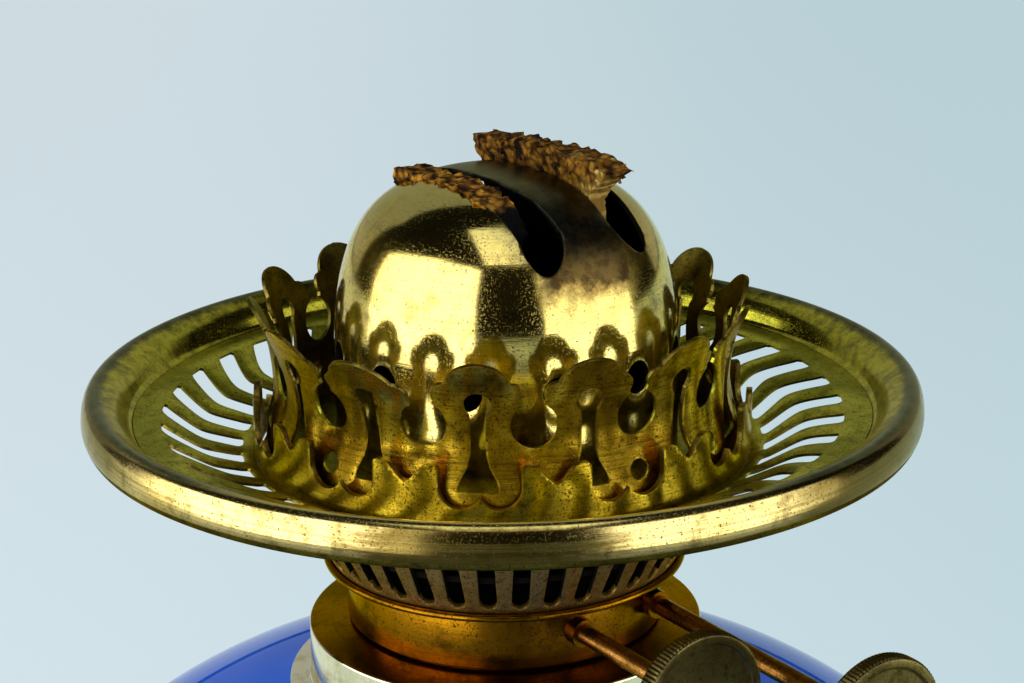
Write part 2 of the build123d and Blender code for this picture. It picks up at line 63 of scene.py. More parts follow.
# small helpers for working by hand
def dropSelection():
    if bpy.context.object and bpy.context.object.mode != 'OBJECT':
        bpy.ops.object.mode_set(mode='OBJECT')
    bpy.ops.object.select_all(action='DESELECT')


def pick(piece):
    dropSelection()
    piece.select_set(True)
    bpy.context.view_layer.objects.active = piece


def added(operator, **values):
    dropSelection()
    operator(**values)
    return bpy.context.active_object


def selectAll():
    bpy.ops.mesh.select_all(action='SELECT')


def openMesh():
    bpy.ops.object.mode_set(mode='EDIT')
    selectAll()


def closeMesh():
    bpy.ops.object.mode_set(mode='OBJECT')


def cutAcross(axis, places):
    # one cut square to the axis at each place, in an open mesh
    square = [float(i == axis) for i in range(3)]
    for place in places:
        selectAll()
        bpy.ops.mesh.bisect(plane_co=[place * s for s in square], plane_no=square)


def useModifier(piece, kind, **values):
    pick(piece)
    modifier = piece.modifiers.new(kind.title(), kind)
    for key, value in values.items():
        setattr(modifier, key, value)
    bpy.ops.object.modifier_apply(modifier=modifier.name)


def breakEdges(piece, width, sharp=55):
    useModifier(piece, 'BEVEL', width=width * mm, segments=2, limit_method='ANGLE',
                angle_limit=radians(sharp))


def smoothOff(piece, sharp=40):
    pick(piece)
    bpy.ops.object.shade_smooth_by_angle(angle=radians(sharp))
    return piece


def softCorners(points, radius, steps=4, share=0.45):
    # a corner never takes more than its share of the runs beside it
    rounded = []
    count = len(points)
    for i in range(count):
        here = Vector(points[i])
        before = Vector(points[i - 1]) - here
        after = Vector(points[(i + 1) % count]) - here
        if before.length < tiny or after.length < tiny or here.x < tiny:
            rounded.append(tuple(here))
            continue
        reach = min(radius, before.length * share, after.length * share)
        start = here + before.normalized() * reach
        end = here + after.normalized() * reach
        for k in range(steps + 1):
            t = k / steps
            rounded.append(tuple(start * (1 - t) ** 2 + here * 2 * t * (1 - t) + end * t * t))
    return rounded


def lathe(name, points, steps=160, closed=True, weld=0.004, sliver=0.001):
    piece = added(bpy.ops.mesh.primitive_plane_add, size=mm)
    piece.name = name
    openMesh()
    bpy.ops.mesh.merge(type='CENTER')
    place = Vector((0, 0, 0))
    for i, (r, z) in enumerate(list(points) + ([points[0]] if closed else [])):
        goal = Vector((r * mm, 0, z * mm))
        if i == 0:
            bpy.ops.transform.translate(value=goal - place)
        else:
            bpy.ops.mesh.extrude_region_move(TRANSFORM_OT_translate={"value": goal - place})
        place = goal
    selectAll()
    bpy.ops.mesh.spin(steps=steps, angle=2 * pi, center=(0, 0, 0), axis=(0, 0, 1))
    selectAll()
    bpy.ops.mesh.remove_doubles(threshold=weld * mm)
    bpy.ops.mesh.dissolve_degenerate(threshold=sliver * mm)
    selectAll()
    bpy.ops.mesh.normals_make_consistent(inside=False)
    closeMesh()
    return piece


def flatCell(name, loops, uCuts, vCuts, welds=(0.001, 0.002)):
    drawing = bpy.data.curves.new(name, 'CURVE')
    drawing.dimensions = '2D'
    drawing.fill_mode = 'BOTH'
    for loop in loops:
        spline = drawing.splines.new('POLY')
        spline.points.add(len(loop) - 1)
        for point, (u, v) in zip(spline.points, loop):
            point.co = (u, v, 0, 1)
        spline.use_cyclic_u = True
    piece = bpy.data.objects.new(name, drawing)
    scene.collection.objects.link(piece)
    pick(piece)
    bpy.ops.object.convert(target='MESH')
    piece = bpy.context.active_object
    openMesh()
    bpy.ops.mesh.remove_doubles(threshold=welds[0])
    cutAcross(0, uCuts)
    cutAcross(1, vCuts)
    selectAll()
    bpy.ops.mesh.remove_doubles(threshold=welds[1])
    closeMesh()
    return piece


def joinPieces(name, *pieces):
    dropSelection()
    for piece in pieces:
        piece.select_set(True)
    bpy.context.view_layer.objects.active = pieces[0]
    bpy.ops.object.join()
    whole = bpy.context.active_object
    whole.name = name
    return whole


def wrapAround(name, piece, count, turn, place, weld=0.01):
    # place(u, v, i) gives angle in degrees, radius and height in millimetres
    flat = [tuple(v.co) for v in piece.data.vertices]
    copies = []
    for i in range(count):
        twin = piece.copy()
        twin.data = piece.data.copy()
        scene.collection.objects.link(twin)
        for vertex, (u, v, _) in zip(twin.data.vertices, flat):
            angle, radius, height = place(u, v, i)
            a = radians(turn + angle + 360 / count * i)
            vertex.co = (radius * cos(a) * mm, radius * sin(a) * mm, height * mm)
        copies.append(twin)
    bpy.data.objects.remove(piece, do_unlink=True)
    whole = joinPieces(name, *copies)
    openMesh()
    bpy.ops.mesh.remove_doubles(threshold=weld * mm)
    bpy.ops.mesh.normals_make_consistent(inside=False)
    closeMesh()
    return whole


def faceOutward(piece, up=False):
    # flips an open sheet where most of its faces look toward the axis, or down
    total = 0.0
    for face in piece.data.polygons:
        outward = Vector((0, 0, 1)) if up else Vector((face.center.x, face.center.y, 0)).normalized()
        total += face.normal.dot(outward) * face.area
    if total < 0:
        pick(piece)
        openMesh()
        bpy.ops.mesh.flip_normals()
        closeMesh()


def fretRing(name, loops, half, span, place, s, *coats):
    # a flat cell laid round the lamp, then given its thickness; a second coat, dirt and painted shade, goes
    # on the cut edges
    cell = flatCell(name, loops, spread(-half, half, s["steps"][0]), spread(*span, s["steps"][1]))
    ring = wrapAround(name, cell, s["count"], s["turn"], place)
    faceOutward(ring, s.get("faceUp"))
    coat(ring, *coats)
    useModifier(ring, 'SOLIDIFY', thickness=s["sheet"] * mm, offset=-1.0, material_offset_rim=len(coats) - 1)
    if "bevel" in s:
        breakEdges(ring, s["bevel"])
    return smoothOff(ring)


def arc(cx, cy, radius, start, end, steps):
    turns = [radians(start + (end - start) * k / steps) for k in range(steps + 1)]
    return [(cx + radius * cos(a), cy + radius * sin(a)) for a in turns]


def mirrored(points):
    return [(-x, y) for x, y in reversed(points)]


def spread(low, high, step):
    count = max(1, round((high - low) / step))
    return [low + (high - low) * k / count for k in range(1, count)]


def bearing(turn):
    return Vector((cos(radians(turn)), sin(radians(turn)), 0))


def middle(box, axis):
    return (box[0][axis] + box[1][axis]) / 2


def clamp(x):
    return min(1.0, max(0.0, x))


def smoothCurve(knots, x):
    # eased line through (x, y) knots
    last = len(knots) - 1
    i = next((k for k in range(last) if x <= knots[k + 1][0]), last - 1)
    (x0, y0), (x1, y1) = knots[i], knots[i + 1]
    xa, ya = knots[max(i - 1, 0)]
    xb, yb = knots[min(i + 2, last)]
    s0 = (y1 - ya) / (x1 - xa)
    s1 = (yb - y0) / (xb - x0)
    t = (x - x0) / (x1 - x0)
    d = x1 - x0
    return ((2 * t ** 3 - 3 * t ** 2 + 1) * y0 + (t ** 3 - 2 * t ** 2 + t) * d * s0
            + (-2 * t ** 3 + 3 * t ** 2) * y1 + (t ** 3 - t ** 2) * d * s1)


def coat(piece, *names):
    for name in names:
        piece.data.materials.append(finish[name])


def settle(piece, body, slotName, coatName, *nodes):
    if coatName:
        piece.data.materials.clear()
        coat(piece, coatName)
    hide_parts(*nodes)
    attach(piece, body)


def dial(node, values):
    for name, value in values.items():
        node.inputs[name].default_value = value


# finishes
class Sheet:
    # a node sheet being wired up, with short calls for the nodes used here
    def __init__(self, name):
        self.material = bpy.data.materials.new(name)
        self.material.use_nodes = True
        self.tree = self.material.node_tree
        self.shader = self.tree.nodes["Principled BSDF"]
        self.point = self.add("ShaderNodeTexCoord").outputs["Object"]

    def add(self, kind, **values):
        node = self.tree.nodes.new(kind)
        for key, value in values.items():
            setattr(node, key, value)
        return node

    def wire(self, source, target):
        self.tree.links.new(source, target)

    def feed(self, socket, source):
        self.wire(source, self.shader.inputs[socket])

    def fed(self, socket):
        return self.shader.inputs[socket].links[0].from_socket

    def cloud(self, scale, detail, rough, offset=(0, 0, 0), stretch=(1, 1, 1), point=None):
        mapping = self.add("ShaderNodeMapping")
        self.wire(self.point if point is None else point, mapping.inputs["Vector"])
        dial(mapping, {"Scale": stretch, "Location": offset})
        cloud = self.add("ShaderNodeTexNoise")
        self.wire(mapping.outputs[0], cloud.inputs["Vector"])
        dial(cloud, {"Scale": scale, "Detail": detail, "Roughness": rough})
        return cloud.outputs["Fac"]

    def between(self, value, low, high):
        node = self.add("ShaderNodeMapRange", interpolation_type='SMOOTHSTEP')
        self.wire(value, node.inputs["Value"])
        dial(node, {"From Min": low, "From Max": high})
        return node.outputs["Result"]

    def ramp(self, value, edges, base=0.0):
        # edges in millimetres above the base
        return self.between(value, (base + edges[0]) * mm, (base + edges[1]) * mm)

    def work(self, kind, a, b=None):
        node = self.add("ShaderNodeMath", operation=kind)
        for i, value in enumerate((a, b)):
            if isinstance(value, (int, float)):
                node.inputs[i].default_value = value
            elif value is not None:
                self.wire(value, node.inputs[i])
        return node.outputs[0]

    def plus(self, a, b):
        return self.work('ADD', a, b)

    def minus(self, a, b):
        return self.work('SUBTRACT', a, b)

    def times(self, a, b):
        return self.work('MULTIPLY', a, b)

    def swing(self, cloud, span):
        # a cloud as a length in millimetres to either side of nothing
        return self.times(self.minus(cloud, 0.5), span * mm)

    def split(self, point):
        parts = self.add("ShaderNodeSeparateXYZ")
        self.wire(point, parts.inputs[0])
        return parts.outputs

    def along(self, parts, turn):
        x, y = cos(radians(turn)), sin(radians(turn))
        return self.plus(self.times(parts[0], x), self.times(parts[1], y))

    def blend(self, fac, a, b):
        node = self.add("ShaderNodeMix", data_type='RGBA')
        self.wire(fac, node.inputs["Factor"])
        for socket, value in ((node.inputs[6], a), (node.inputs[7], b)):
            if isinstance(value, tuple):
                socket.default_value = (*value, 1)
            else:
                self.wire(value, socket)
        return node.outputs[2]

    def ringPoint(self):
        # radius and height only, so a pattern on it runs round the lamp like turning marks
        x, y, z = self.split(self.point)
        joined = self.add("ShaderNodeCombineXYZ")
        self.wire(self.work('SQRT', self.plus(self.times(x, x), self.times(y, y))), joined.inputs[0])
        self.wire(z, joined.inputs[1])
        return joined.outputs[0]

    def bump(self, height, strength, depth):
        node = self.add("ShaderNodeBump")
        self.wire(height, node.inputs["Height"])
        dial(node, {"Strength": strength, "Distance": depth * mm})
        self.feed("Normal", node.outputs["Normal"])


brassGrain = dict(
    patch=dict(detail=5, rough=0.6), turning=dict(detail=3, rough=0.7),
    mottle=dict(detail=6, rough=0.65, offset=(0.3, 0.1, 0.7)), mottleScale=7,
    speck=dict(scale=3600, detail=3, rough=0.6, offset=(0.9, 0.4, 0.2)),
    mottleEdge=(0.45, 0.78), lineEdge=(0.5, 0.68), patchWear=0.55, mottleWear=0.45, depth=0.05,
)


def brassFinish(name, look, grain):
    sheet = Sheet(name)
    bright, aged, dull = look["tints"]
    patches = sheet.between(sheet.cloud(look["patchScale"], **grain["patch"]), *look["patchEdge"])
    mottle = sheet.cloud(look["patchScale"] * grain["mottleScale"], **grain["mottle"])
    specks = sheet.between(sheet.cloud(**grain["speck"]), *look["speckEdge"])
    turning = sheet.cloud(look["turningScale"], **grain["turning"], point=sheet.ringPoint())
    tint = sheet.blend(patches, bright, aged)
    tint = sheet.blend(sheet.between(mottle, *grain["mottleEdge"]), tint, dull)
    lines = sheet.times(sheet.between(turning, *grain["lineEdge"]), look["lines"])
    tint = sheet.blend(lines, tint, dull)
    sheet.feed("Base Color", sheet.blend(specks, tint, look["dark"]))
    worn = sheet.plus(sheet.times(patches, grain["patchWear"]), sheet.times(mottle, grain["mottleWear"]))
    rough = sheet.add("ShaderNodeMapRange")
    sheet.wire(worn, rough.inputs["Value"])
    dial(rough, dict(zip(("To Min", "To Max"), look["roughness"])))
    sheet.feed("Roughness", rough.outputs["Result"])
    relief = sheet.plus(sheet.times(turning, look["turningDepth"]), sheet.times(mottle, look["mottleDepth"]))
    relief = sheet.minus(relief, sheet.times(specks, look["pits"]))
    sheet.bump(relief, look["bumpStrength"], grain["depth"])
    dial(sheet.shader, {"Metallic": 1.0, "Specular Tint": (*look["glance"], 1)})
    return sheet


agedLook = dict(
    tints=((0.90, 0.55, 0.036), (0.29, 0.150, 0.006), (0.080, 0.040, 0.002)),
    dark=(0.016, 0.010, 0.002), glance=(1.0, 0.86, 0.42), roughness=(0.13, 0.31), lines=0.55,
    patchScale=45, patchEdge=(0.40, 0.62), speckEdge=(0.56, 0.66), pits=0.6,
    turningScale=2600, turningDepth=0.8, mottleDepth=0.5, bumpStrength=0.35,
)
# every metal by what sets it apart from the aged brass
metals = dict(
    agedBrass={},
    panBrass=dict(
        tints=((0.50, 0.465, 0.036), (0.28, 0.275, 0.018), (0.085, 0.090, 0.010)),
        patchScale=80, roughness=(0.24, 0.46), lines=0.3, pits=0.4, glance=(1, 0.95, 0.6)),
    rimBrass=dict(
        tints=((0.80, 0.58, 0.20), (0.58, 0.39, 0.09), (0.13, 0.085, 0.014)),
        patchEdge=(0.45, 0.75), speckEdge=(0.58, 0.68), roughness=(0.13, 0.32), pits=0.5,
        glance=(1, 0.95, 0.7)),
    domeBrass=dict(
        tints=((0.86, 0.61, 0.120), (0.70, 0.47, 0.045), (0.23, 0.150, 0.008)),
        patchEdge=(0.45, 0.75), speckEdge=(0.575, 0.70), roughness=(0.07, 0.19), bumpStrength=0.2,
        lines=0.4, pits=0.75, glance=(1, 0.95, 0.6)),
    # dark cut edges of the fretted sheets: dirt and painted shade in the gaps between the sheets
    dirtAndShadeEdgeBrass=dict(
        tints=((0.26, 0.18, 0.03), (0.09, 0.06, 0.009), (0.035, 0.026, 0.005)),
        patchScale=120, roughness=(0.28, 0.5), lines=0.2),
    # painted shade: the rim's faces that look down and the inside of the petals on the far side
    shadedBrass=dict(
        tints=((0.22, 0.16, 0.022), (0.10, 0.074, 0.012), (0.035, 0.029, 0.008)),
        patchScale=90, roughness=(0.30, 0.50), lines=0.3, glance=(0.5, 0.4, 0.2)),
    upstandBrass=dict(
        tints=((0.52, 0.33, 0.018), (0.26, 0.155, 0.006), (0.08, 0.046, 0.002)),
        patchScale=110),
    bandBrass=dict(
        tints=((0.54, 0.310, 0.060), (0.34, 0.190, 0.034), (0.13, 0.068, 0.014)),
        patchScale=150, roughness=(0.40, 0.58), lines=0.15, glance=(0.6, 0.4, 0.15)),
    amberBrass=dict(
        tints=((0.32, 0.130, 0.003), (0.15, 0.056, 0.002), (0.06, 0.022, 0.001)),
        roughness=(0.16, 0.32), lines=0.25, glance=(1.0, 0.85, 0.3)),
    paleBrass=dict(
        tints=((0.96, 0.87, 0.52), (0.86, 0.74, 0.36), (0.58, 0.44, 0.16)),
        patchEdge=(0.5, 0.8), speckEdge=(0.7, 0.78), roughness=(0.09, 0.2), bumpStrength=0.12,
        lines=0.12, pits=0.25, glance=(1, 1, 1)),
    standBrass=dict(
        tints=((0.74, 0.54, 0.17), (0.58, 0.41, 0.10), (0.40, 0.27, 0.06)),
        patchEdge=(0.48, 0.8), roughness=(0.14, 0.32), bumpStrength=0.2, lines=0.2, pits=0.25,
        glance=(1, 1, 1)),
    copperBrass=dict(
        tints=((0.34, 0.15, 0.03), (0.18, 0.075, 0.012), (0.07, 0.03, 0.006)),
        patchScale=160, roughness=(0.22, 0.42), turningDepth=0.1, lines=0.0),
    darkBronze=dict(
        tints=((0.16, 0.115, 0.034), (0.075, 0.053, 0.016), (0.028, 0.020, 0.007)),
        patchScale=110, roughness=(0.28, 0.46), turningDepth=0.1, lines=0.0),
)
sheets = {name: brassFinish(name, {**agedLook, **change}, brassGrain) for name, change in metals.items()}
finish = {name: sheet.material for name, sheet in sheets.items()}

rimMarks = dict(
    ragged=dict(scale=380, detail=6, rough=0.75, offset=(0.4, 0.8, 0.3)), raggedSpan=1.2,
    blotch=(0.35, 0.68),
    bandFrom=(55.1, 55.9), beadFrom=(53.0, 54.1),
    wall=((0.54, 0.47, 0.034), (0.17, 0.152, 0.014)), bead=((0.105, 0.112, 0.040), (0.026, 0.032, 0.016)),
    streaks=dict(scale=90, detail=5, rough=0.75, offset=(0.1, 0.6, 0.2), stretch=(1, 1, 7)),
    streakSpan=7,
    # the front of the bead is lighter: wear and a painted highlight
    worn=dict(turn=-36, edges=(40, 51)), wearAndHighlightTint=(0.66, 0.53, 0.15),
    # darker stretches of the band: tarnish and painted shade
    tarnishAndShade=((dict(turn=-36, edges=(53.2, 55.6)), 0.88), (dict(turn=36, edges=(44.5, 50.5)), 0.86),
             (dict(turn=-124, edges=(44.5, 49.5)), 0.78)),
    tarnishAndShadeTint=(0.11, 0.068, 0.008),
)


def markRim(sheet, s):
    # green patina over the rolled top with wear and a painted highlight at its front, worn metal on the
    # outer band with stretches of tarnish and painted shade
    ragged = sheet.cloud(**s["ragged"])
    radius = sheet.split(sheet.ringPoint())[0]
    reach = sheet.plus(radius, sheet.swing(ragged, s["raggedSpan"]))
    inward = sheet.minus(1.0, sheet.ramp(reach, s["bandFrom"]))
    blotch = sheet.between(ragged, *s["blotch"])
    where = sheet.split(sheet.point)
    uneven = sheet.swing(sheet.cloud(**s["streaks"]), s["streakSpan"])

    def stretch(turn, edges):
        return sheet.ramp(sheet.plus(sheet.along(where, turn), uneven), edges)

    bead = sheet.blend(stretch(**s["worn"]), sheet.blend(blotch, *s["bead"]), s["wearAndHighlightTint"])
    green = sheet.blend(sheet.ramp(reach, s["beadFrom"]), sheet.blend(blotch, *s["wall"]), bead)
    band = sheet.fed("Base Color")
    for place, depth in s["tarnishAndShade"]:
        band = sheet.blend(sheet.times(stretch(**place), depth), band, s["tarnishAndShadeTint"])
    sheet.feed("Base Color", sheet.blend(inward, band, green))


markRim(sheets["rimBrass"], rimMarks)

domeHeat = dict(
    ragged=dict(scale=130, detail=5, rough=0.7), raggedSpan=9, middle=(5.5, 9.5),
    fine=dict(scale=420, detail=6, rough=0.75, offset=(0.6, 0.1, 0.4)), fineSpan=3,
    start=(18.5, 21.5), change=(24.0, 28.5), lowerEdge=(0.40, 0.62), upperEdge=(0.38, 0.64),
    lower=((0.110, 0.068, 0.018), (0.050, 0.029, 0.009)),
    upper=((0.062, 0.058, 0.036), (0.017, 0.018, 0.015)),
    tide=(20.6, 22.0), tideTint=(0.25, 0.152, 0.034), dullness=0.22,
    cap=(23.5, 29.5), capShare=0.75, capTint=(0.42, 0.36, 0.10),
    lacquer=0.42, coat={"Coat IOR": 1.95, "Coat Roughness": 0.12},
)


def heatDome(sheet, s):
    # soot and heat colour between and around the two slots
    _, y, z = sheet.split(sheet.point)
    wander = sheet.swing(sheet.cloud(**s["ragged"]), s["raggedSpan"])
    side = sheet.plus(sheet.work('ABSOLUTE', y), wander)
    nearMiddle = sheet.minus(1.0, sheet.ramp(side, s["middle"]))
    fine = sheet.cloud(**s["fine"])
    level = sheet.plus(z, sheet.plus(wander, sheet.swing(fine, s["fineSpan"])))
    heat = sheet.times(nearMiddle, sheet.ramp(level, s["start"], rimZ))
    lower = sheet.blend(sheet.between(fine, *s["lowerEdge"]), *s["lower"])
    upper = sheet.blend(sheet.between(fine, *s["upperEdge"]), *s["upper"])
    stain = sheet.blend(sheet.ramp(level, s["change"], rimZ), lower, upper)
    # a tan tide line where the stain stops
    tide = sheet.times(heat, sheet.minus(1.0, sheet.ramp(level, s["tide"], rimZ)))
    stain = sheet.blend(tide, stain, s["tideTint"])
    cap = sheet.times(sheet.ramp(z, s["cap"], rimZ), s["capShare"])
    dulled = sheet.blend(cap, sheet.fed("Base Color"), s["capTint"])
    sheet.feed("Base Color", sheet.blend(heat, dulled, stain))
    sheet.feed("Roughness", sheet.plus(sheet.fed("Roughness"), sheet.times(heat, s["dullness"])))
    # old lacquer pales the highlights, except where the heat has burnt it off
    left = sheet.minus(1.0, sheet.work('MAXIMUM', heat, cap))
    sheet.feed("Coat Weight", sheet.times(left, s["lacquer"]))
    dial(sheet.shader, s["coat"])


heatDome(sheets["domeBrass"], domeHeat)

glassLook = dict(
    streaks=dict(scale=30, detail=3, rough=0.5, stretch=(1, 1, 3)), edge=(0.3, 0.7),
    tint=((0.012, 0.118, 0.74), (0.030, 0.165, 0.86)), bump=(0.05, 0.4),
    shader={"Roughness": 0.04, "IOR": 1.28, "Specular IOR Level": 0.2, "Transmission Weight": 0.25},
)


def glassFinish(s):
    sheet = Sheet("cobaltGlass")
    streaks = sheet.cloud(**s["streaks"])
    sheet.feed("Base Color", sheet.blend(sheet.between(streaks, *s["edge"]), *s["tint"]))
    sheet.bump(streaks, *s["bump"])
    dial(sheet.shader, s["shader"])
    return sheet.material


finish["cobaltGlass"] = glassFinish(glassLook)

wickLook = dict(
    weave={"X": {"Scale": 300, "Distortion": 1.2}, "Z": {"Scale": 240, "Distortion": 1.5}}, weaveRelief=0.5,
    crumbs={"Scale": 900, "Smoothness": 0.35, "Randomness": 1.0}, lump=(0.22, 0.85),
    clean=((0.22, 0.120, 0.020), (0.60, 0.39, 0.095)), crumb=((0.12, 0.044, 0.004), (0.56, 0.25, 0.026)),
    # the wick under the dome takes near black painted shade
    crease=(0.018, 0.007, 0.001), shadeUnderDome=(0.008, 0.006, 0.004), black=(0.0025, 0.002, 0.0015),
    cloud=dict(scale=240, detail=4, rough=0.6, offset=(0.2, 0.5, 0.1)), wander=7,
    front=(6, 11), patchRise=3.4,
    # the near wick's front: burnt black and painted shade
    singed=(28.0, 30.5), charredAndShaded=(9.6, 11.4), burnt=0.34, burntTint=(0.030, 0.010, 0.001),
    sootEdge=(0.54, 0.64), sootTint=(0.010, 0.005, 0.003),
    soot=dict(scale=420, detail=3, rough=0.6, offset=(0.7, 0.2, 0.9)),
    bump=(0.8, 0.35), shader={"Roughness": 0.95, "Specular IOR Level": 0.08},
)


def wickFinish(s):
    sheet = Sheet("charredCotton")
    x, y, z = sheet.split(sheet.point)
    threads = []
    for direction, values in s["weave"].items():
        thread = sheet.add("ShaderNodeTexWave", wave_type='BANDS', bands_direction=direction)
        sheet.wire(sheet.point, thread.inputs["Vector"])
        dial(thread, values)
        threads.append(thread.outputs["Fac"])
    cloth = sheet.times(*threads)
    crumbs = sheet.add("ShaderNodeTexVoronoi", feature='SMOOTH_F1')
    sheet.wire(sheet.point, crumbs.inputs["Vector"])
    dial(crumbs, s["crumbs"])
    lump = sheet.minus(1.0, sheet.between(crumbs.outputs["Distance"], *s["lump"]))
    shade = sheet.add("ShaderNodeSeparateColor")
    sheet.wire(crumbs.outputs["Color"], shade.inputs[0])
    clean = sheet.blend(cloth, *s["clean"])
    # the gaps between the lumps take the crease colour: soot and painted shade
    singed = sheet.blend(lump, s["crease"], sheet.blend(shade.outputs[0], *s["crumb"]))
    wander = sheet.swing(sheet.cloud(**s["cloud"]), s["wander"])
    # a clean woven patch low at the front of the far wick, painted shade on what the dome covers
    nearSide = sheet.work('LESS_THAN', y, 0.0)
    farSide = sheet.minus(1.0, nearSide)
    front = sheet.times(sheet.ramp(x, s["front"]), farSide)
    low = sheet.blend(front, s["shadeUnderDome"], clean)
    singed = sheet.blend(sheet.times(farSide, s["burnt"]), singed, s["burntTint"])
    reach = sheet.minus(sheet.plus(z, wander), sheet.times(front, s["patchRise"] * mm))
    tint = sheet.blend(sheet.ramp(reach, s["singed"], rimZ), low, singed)
    soot = sheet.between(sheet.cloud(**s["soot"]), *s["sootEdge"])
    tint = sheet.blend(soot, tint, sheet.blend(front, s["sootTint"], clean))
    # the near wick is burnt black along its front, with painted shade where its slot shades it
    charredAndShaded = sheet.ramp(sheet.plus(x, wander), s["charredAndShaded"])
    sheet.feed("Base Color", sheet.blend(sheet.times(charredAndShaded, nearSide), tint, s["black"]))
    sheet.bump(sheet.plus(lump, sheet.times(cloth, s["weaveRelief"])), *s["bump"])
    dial(sheet.shader, s["shader"])
    return sheet.material


finish["charredCotton"] = wickFinish(wickLook)

plainGrain = dict(cloud=dict(detail=5, rough=0.65), shade=0.62, bump=(0.4, 0.2))
plainLooks = dict(
    # near black: soot and painted shade for what sits inside the dome and the band
    sootAndShadeBrass=dict(colour=(0.010, 0.008, 0.005), roughness=0.9, metallic=0.0, scale=240, gloss=0.04),
    castIron=dict(colour=(0.10, 0.10, 0.105), roughness=0.7, metallic=1.0, scale=220),
    dullSteel=dict(colour=(0.42, 0.42, 0.43), roughness=0.4, metallic=1.0, scale=160),
    plaster=dict(colour=(0.72, 0.68, 0.60), roughness=0.9, metallic=0.0, scale=260),
)


def plainFinish(name, colour, roughness, metallic, scale, gloss=0.5):
    sheet = Sheet(name)
    cloud = sheet.cloud(scale, **plainGrain["cloud"])
    dark = tuple(c * plainGrain["shade"] for c in colour)
    sheet.feed("Base Color", sheet.blend(cloud, dark, colour))
    sheet.bump(cloud, *plainGrain["bump"])
    dial(sheet.shader, {"Roughness": roughness, "Metallic": metallic, "Specular IOR Level": gloss})
    return sheet.material


for name, look in plainLooks.items():
    finish[name] = plainFinish(name, **look)


def soilAndPaintedLightInside(piece, name, fromZ=inf, side=None):
    # faces that look toward the axis, or above fromZ toward that point of it, take another finish,
    # and only those on one side where a side is given; it lays soot, painted shade and painted light
    coat(piece, name)
    toward = side is not None and bearing(side)
    for face in piece.data.polygons:
        if toward and face.center.dot(toward) < 0:
            continue
        if face.normal.dot(face.center - Vector((0, 0, min(face.center.z, fromZ * mm)))) < 0:
            face.material_index = len(piece.data.materials) - 1


slotFinish = {
    "iron": "castIron", "steel": "dullSteel", "plaster": "plaster", "stand_brass": "standBrass",
    "pale_brass": "paleBrass", "amber_brass": "amberBrass", "aged_brass": "agedBrass",
    "dome_brass": "domeBrass", "copper_brass": "copperBrass", "dark_bronze": "darkBronze",
    "cotton": "charredCotton", "blue_glass": "cobaltGlass",
}

for part in frame["record"]["subparts"]:
    cadPiece = frame["nodes"][part["node"]]
    cadPiece.data.materials.clear()
    coat(cadPiece, slotFinish[part["material_slot"]])
# the pieces under the dome take soot and painted shade
for name in ("wick_tube_a", "wick_tube_b", "diffuser", "burner_floor"):
    frame["nodes"][name].data.materials[0] = finish["sootAndShadeBrass"]
frame["nodes"]["gallery_ring"].data.materials[0] = finish["panBrass"]
print("finishes ready")

# coronet: fourteen keyhole petals
coronetPetals = dict(
    count=14, turn=-38.7, sheet=0.5, spread=31.7, height=16.0, shadedSide=147, bevel=0.07,
    waist=[(-5.8, 32.5), (0, 31.4), (4.0, 30.9), (8.0, 31.2), (11.4, 32.0), (16.2, 34.3)],
    crown=0.45, crownFrom=-1, crownSpan=4, notchRadius=3.05, notchHeight=7.25,
    earRadius=1.55, earPlace=4.35, earDrop=0.15, earArc=(-32, 92), crownRadius=4.42, crownArc=(20, 90),
    keyRadius=1.75, keyHeight=10.1, keyArc=(-50, 230), eyelet=1.35, eyeletHeight=-0.2, steps=(0.62, 0.62),
    leg=[(-1.0, 7.6), (-0.92, 5.6), (-1.0, 3.6), (-1.45, 1.9), (-2.3, 0.3), (-2.6, -0.6), (-2.55, -1.2)],
    seed=4, unevenness=0.55, twist=0.05, sag=0.06, bent={13: 2.3, 12: 0.6},
    leanFrom=3.5, leanSpan=12.5, leanPower=1.5,
)


def makeCoronet(s):
    half = pi * s["spread"] / s["count"]
    foot = seatZ - rimZ
    eyeletY = s["eyeletHeight"]
    crownY = s["height"] - s["crownRadius"]
    throat = half - s["earPlace"] - s["earRadius"]
    topAngle = 180 - degrees(acos(throat / s["notchRadius"]))
    side = [(half, foot), (half, eyeletY - s["eyelet"])]
    side += arc(half, eyeletY, s["eyelet"], 270, 90, 10)[1:-1]
    side += [(half, eyeletY + s["eyelet"])]
    side += arc(half, s["notchHeight"], s["notchRadius"], 270, topAngle, 20)
    side += arc(s["earPlace"], crownY - s["earDrop"], s["earRadius"], *s["earArc"], 12)
    side += arc(0, crownY, s["crownRadius"], *s["crownArc"], 14)
    outline = [(-half, foot)] + side + mirrored(side[1:-1])
    keyhole = arc(0, s["keyHeight"], s["keyRadius"], *s["keyArc"], 26) + s["leg"] + mirrored(s["leg"])
    random.seed(s["seed"])
    lean = [random.uniform(-1, 1) * s["unevenness"] for _ in range(s["count"])]
    twist = [random.uniform(-1, 1) for _ in range(s["count"])]
    for i, outward in s["bent"].items():
        lean[i] = outward

    def place(u, v, i):
        radius = smoothCurve(s["waist"], v)
        lift = max(0.0, (v - s["leanFrom"]) / s["leanSpan"])
        radius += lean[i] * lift ** s["leanPower"] + twist[i] * s["twist"] * u * lift ** s["leanPower"]
        radius -= s["crown"] * (u / half) ** 2 * clamp((v - s["crownFrom"]) / s["crownSpan"])
        drop = s["sag"] * lean[i] ** 2 * lift
        return degrees(u / s["spread"]), radius, rimZ + v - drop

    return fretRing("coronetFret", [outline, keyhole], half, (foot, s["height"]), place, s,
                    "agedBrass", "dirtAndShadeEdgeBrass")


coronet = makeCoronet(coronetPetals)
# the inside of the near petals takes the paler pan brass as painted light, the inside of the far petals
# takes painted shade
soilAndPaintedLightInside(coronet, "panBrass", side=coronetPetals["shadedSide"] + 180)
soilAndPaintedLightInside(coronet, "shadedBrass", side=coronetPetals["shadedSide"])
settle(coronet, "gallery", "aged_brass", None, "coronet")
print("coronet made")

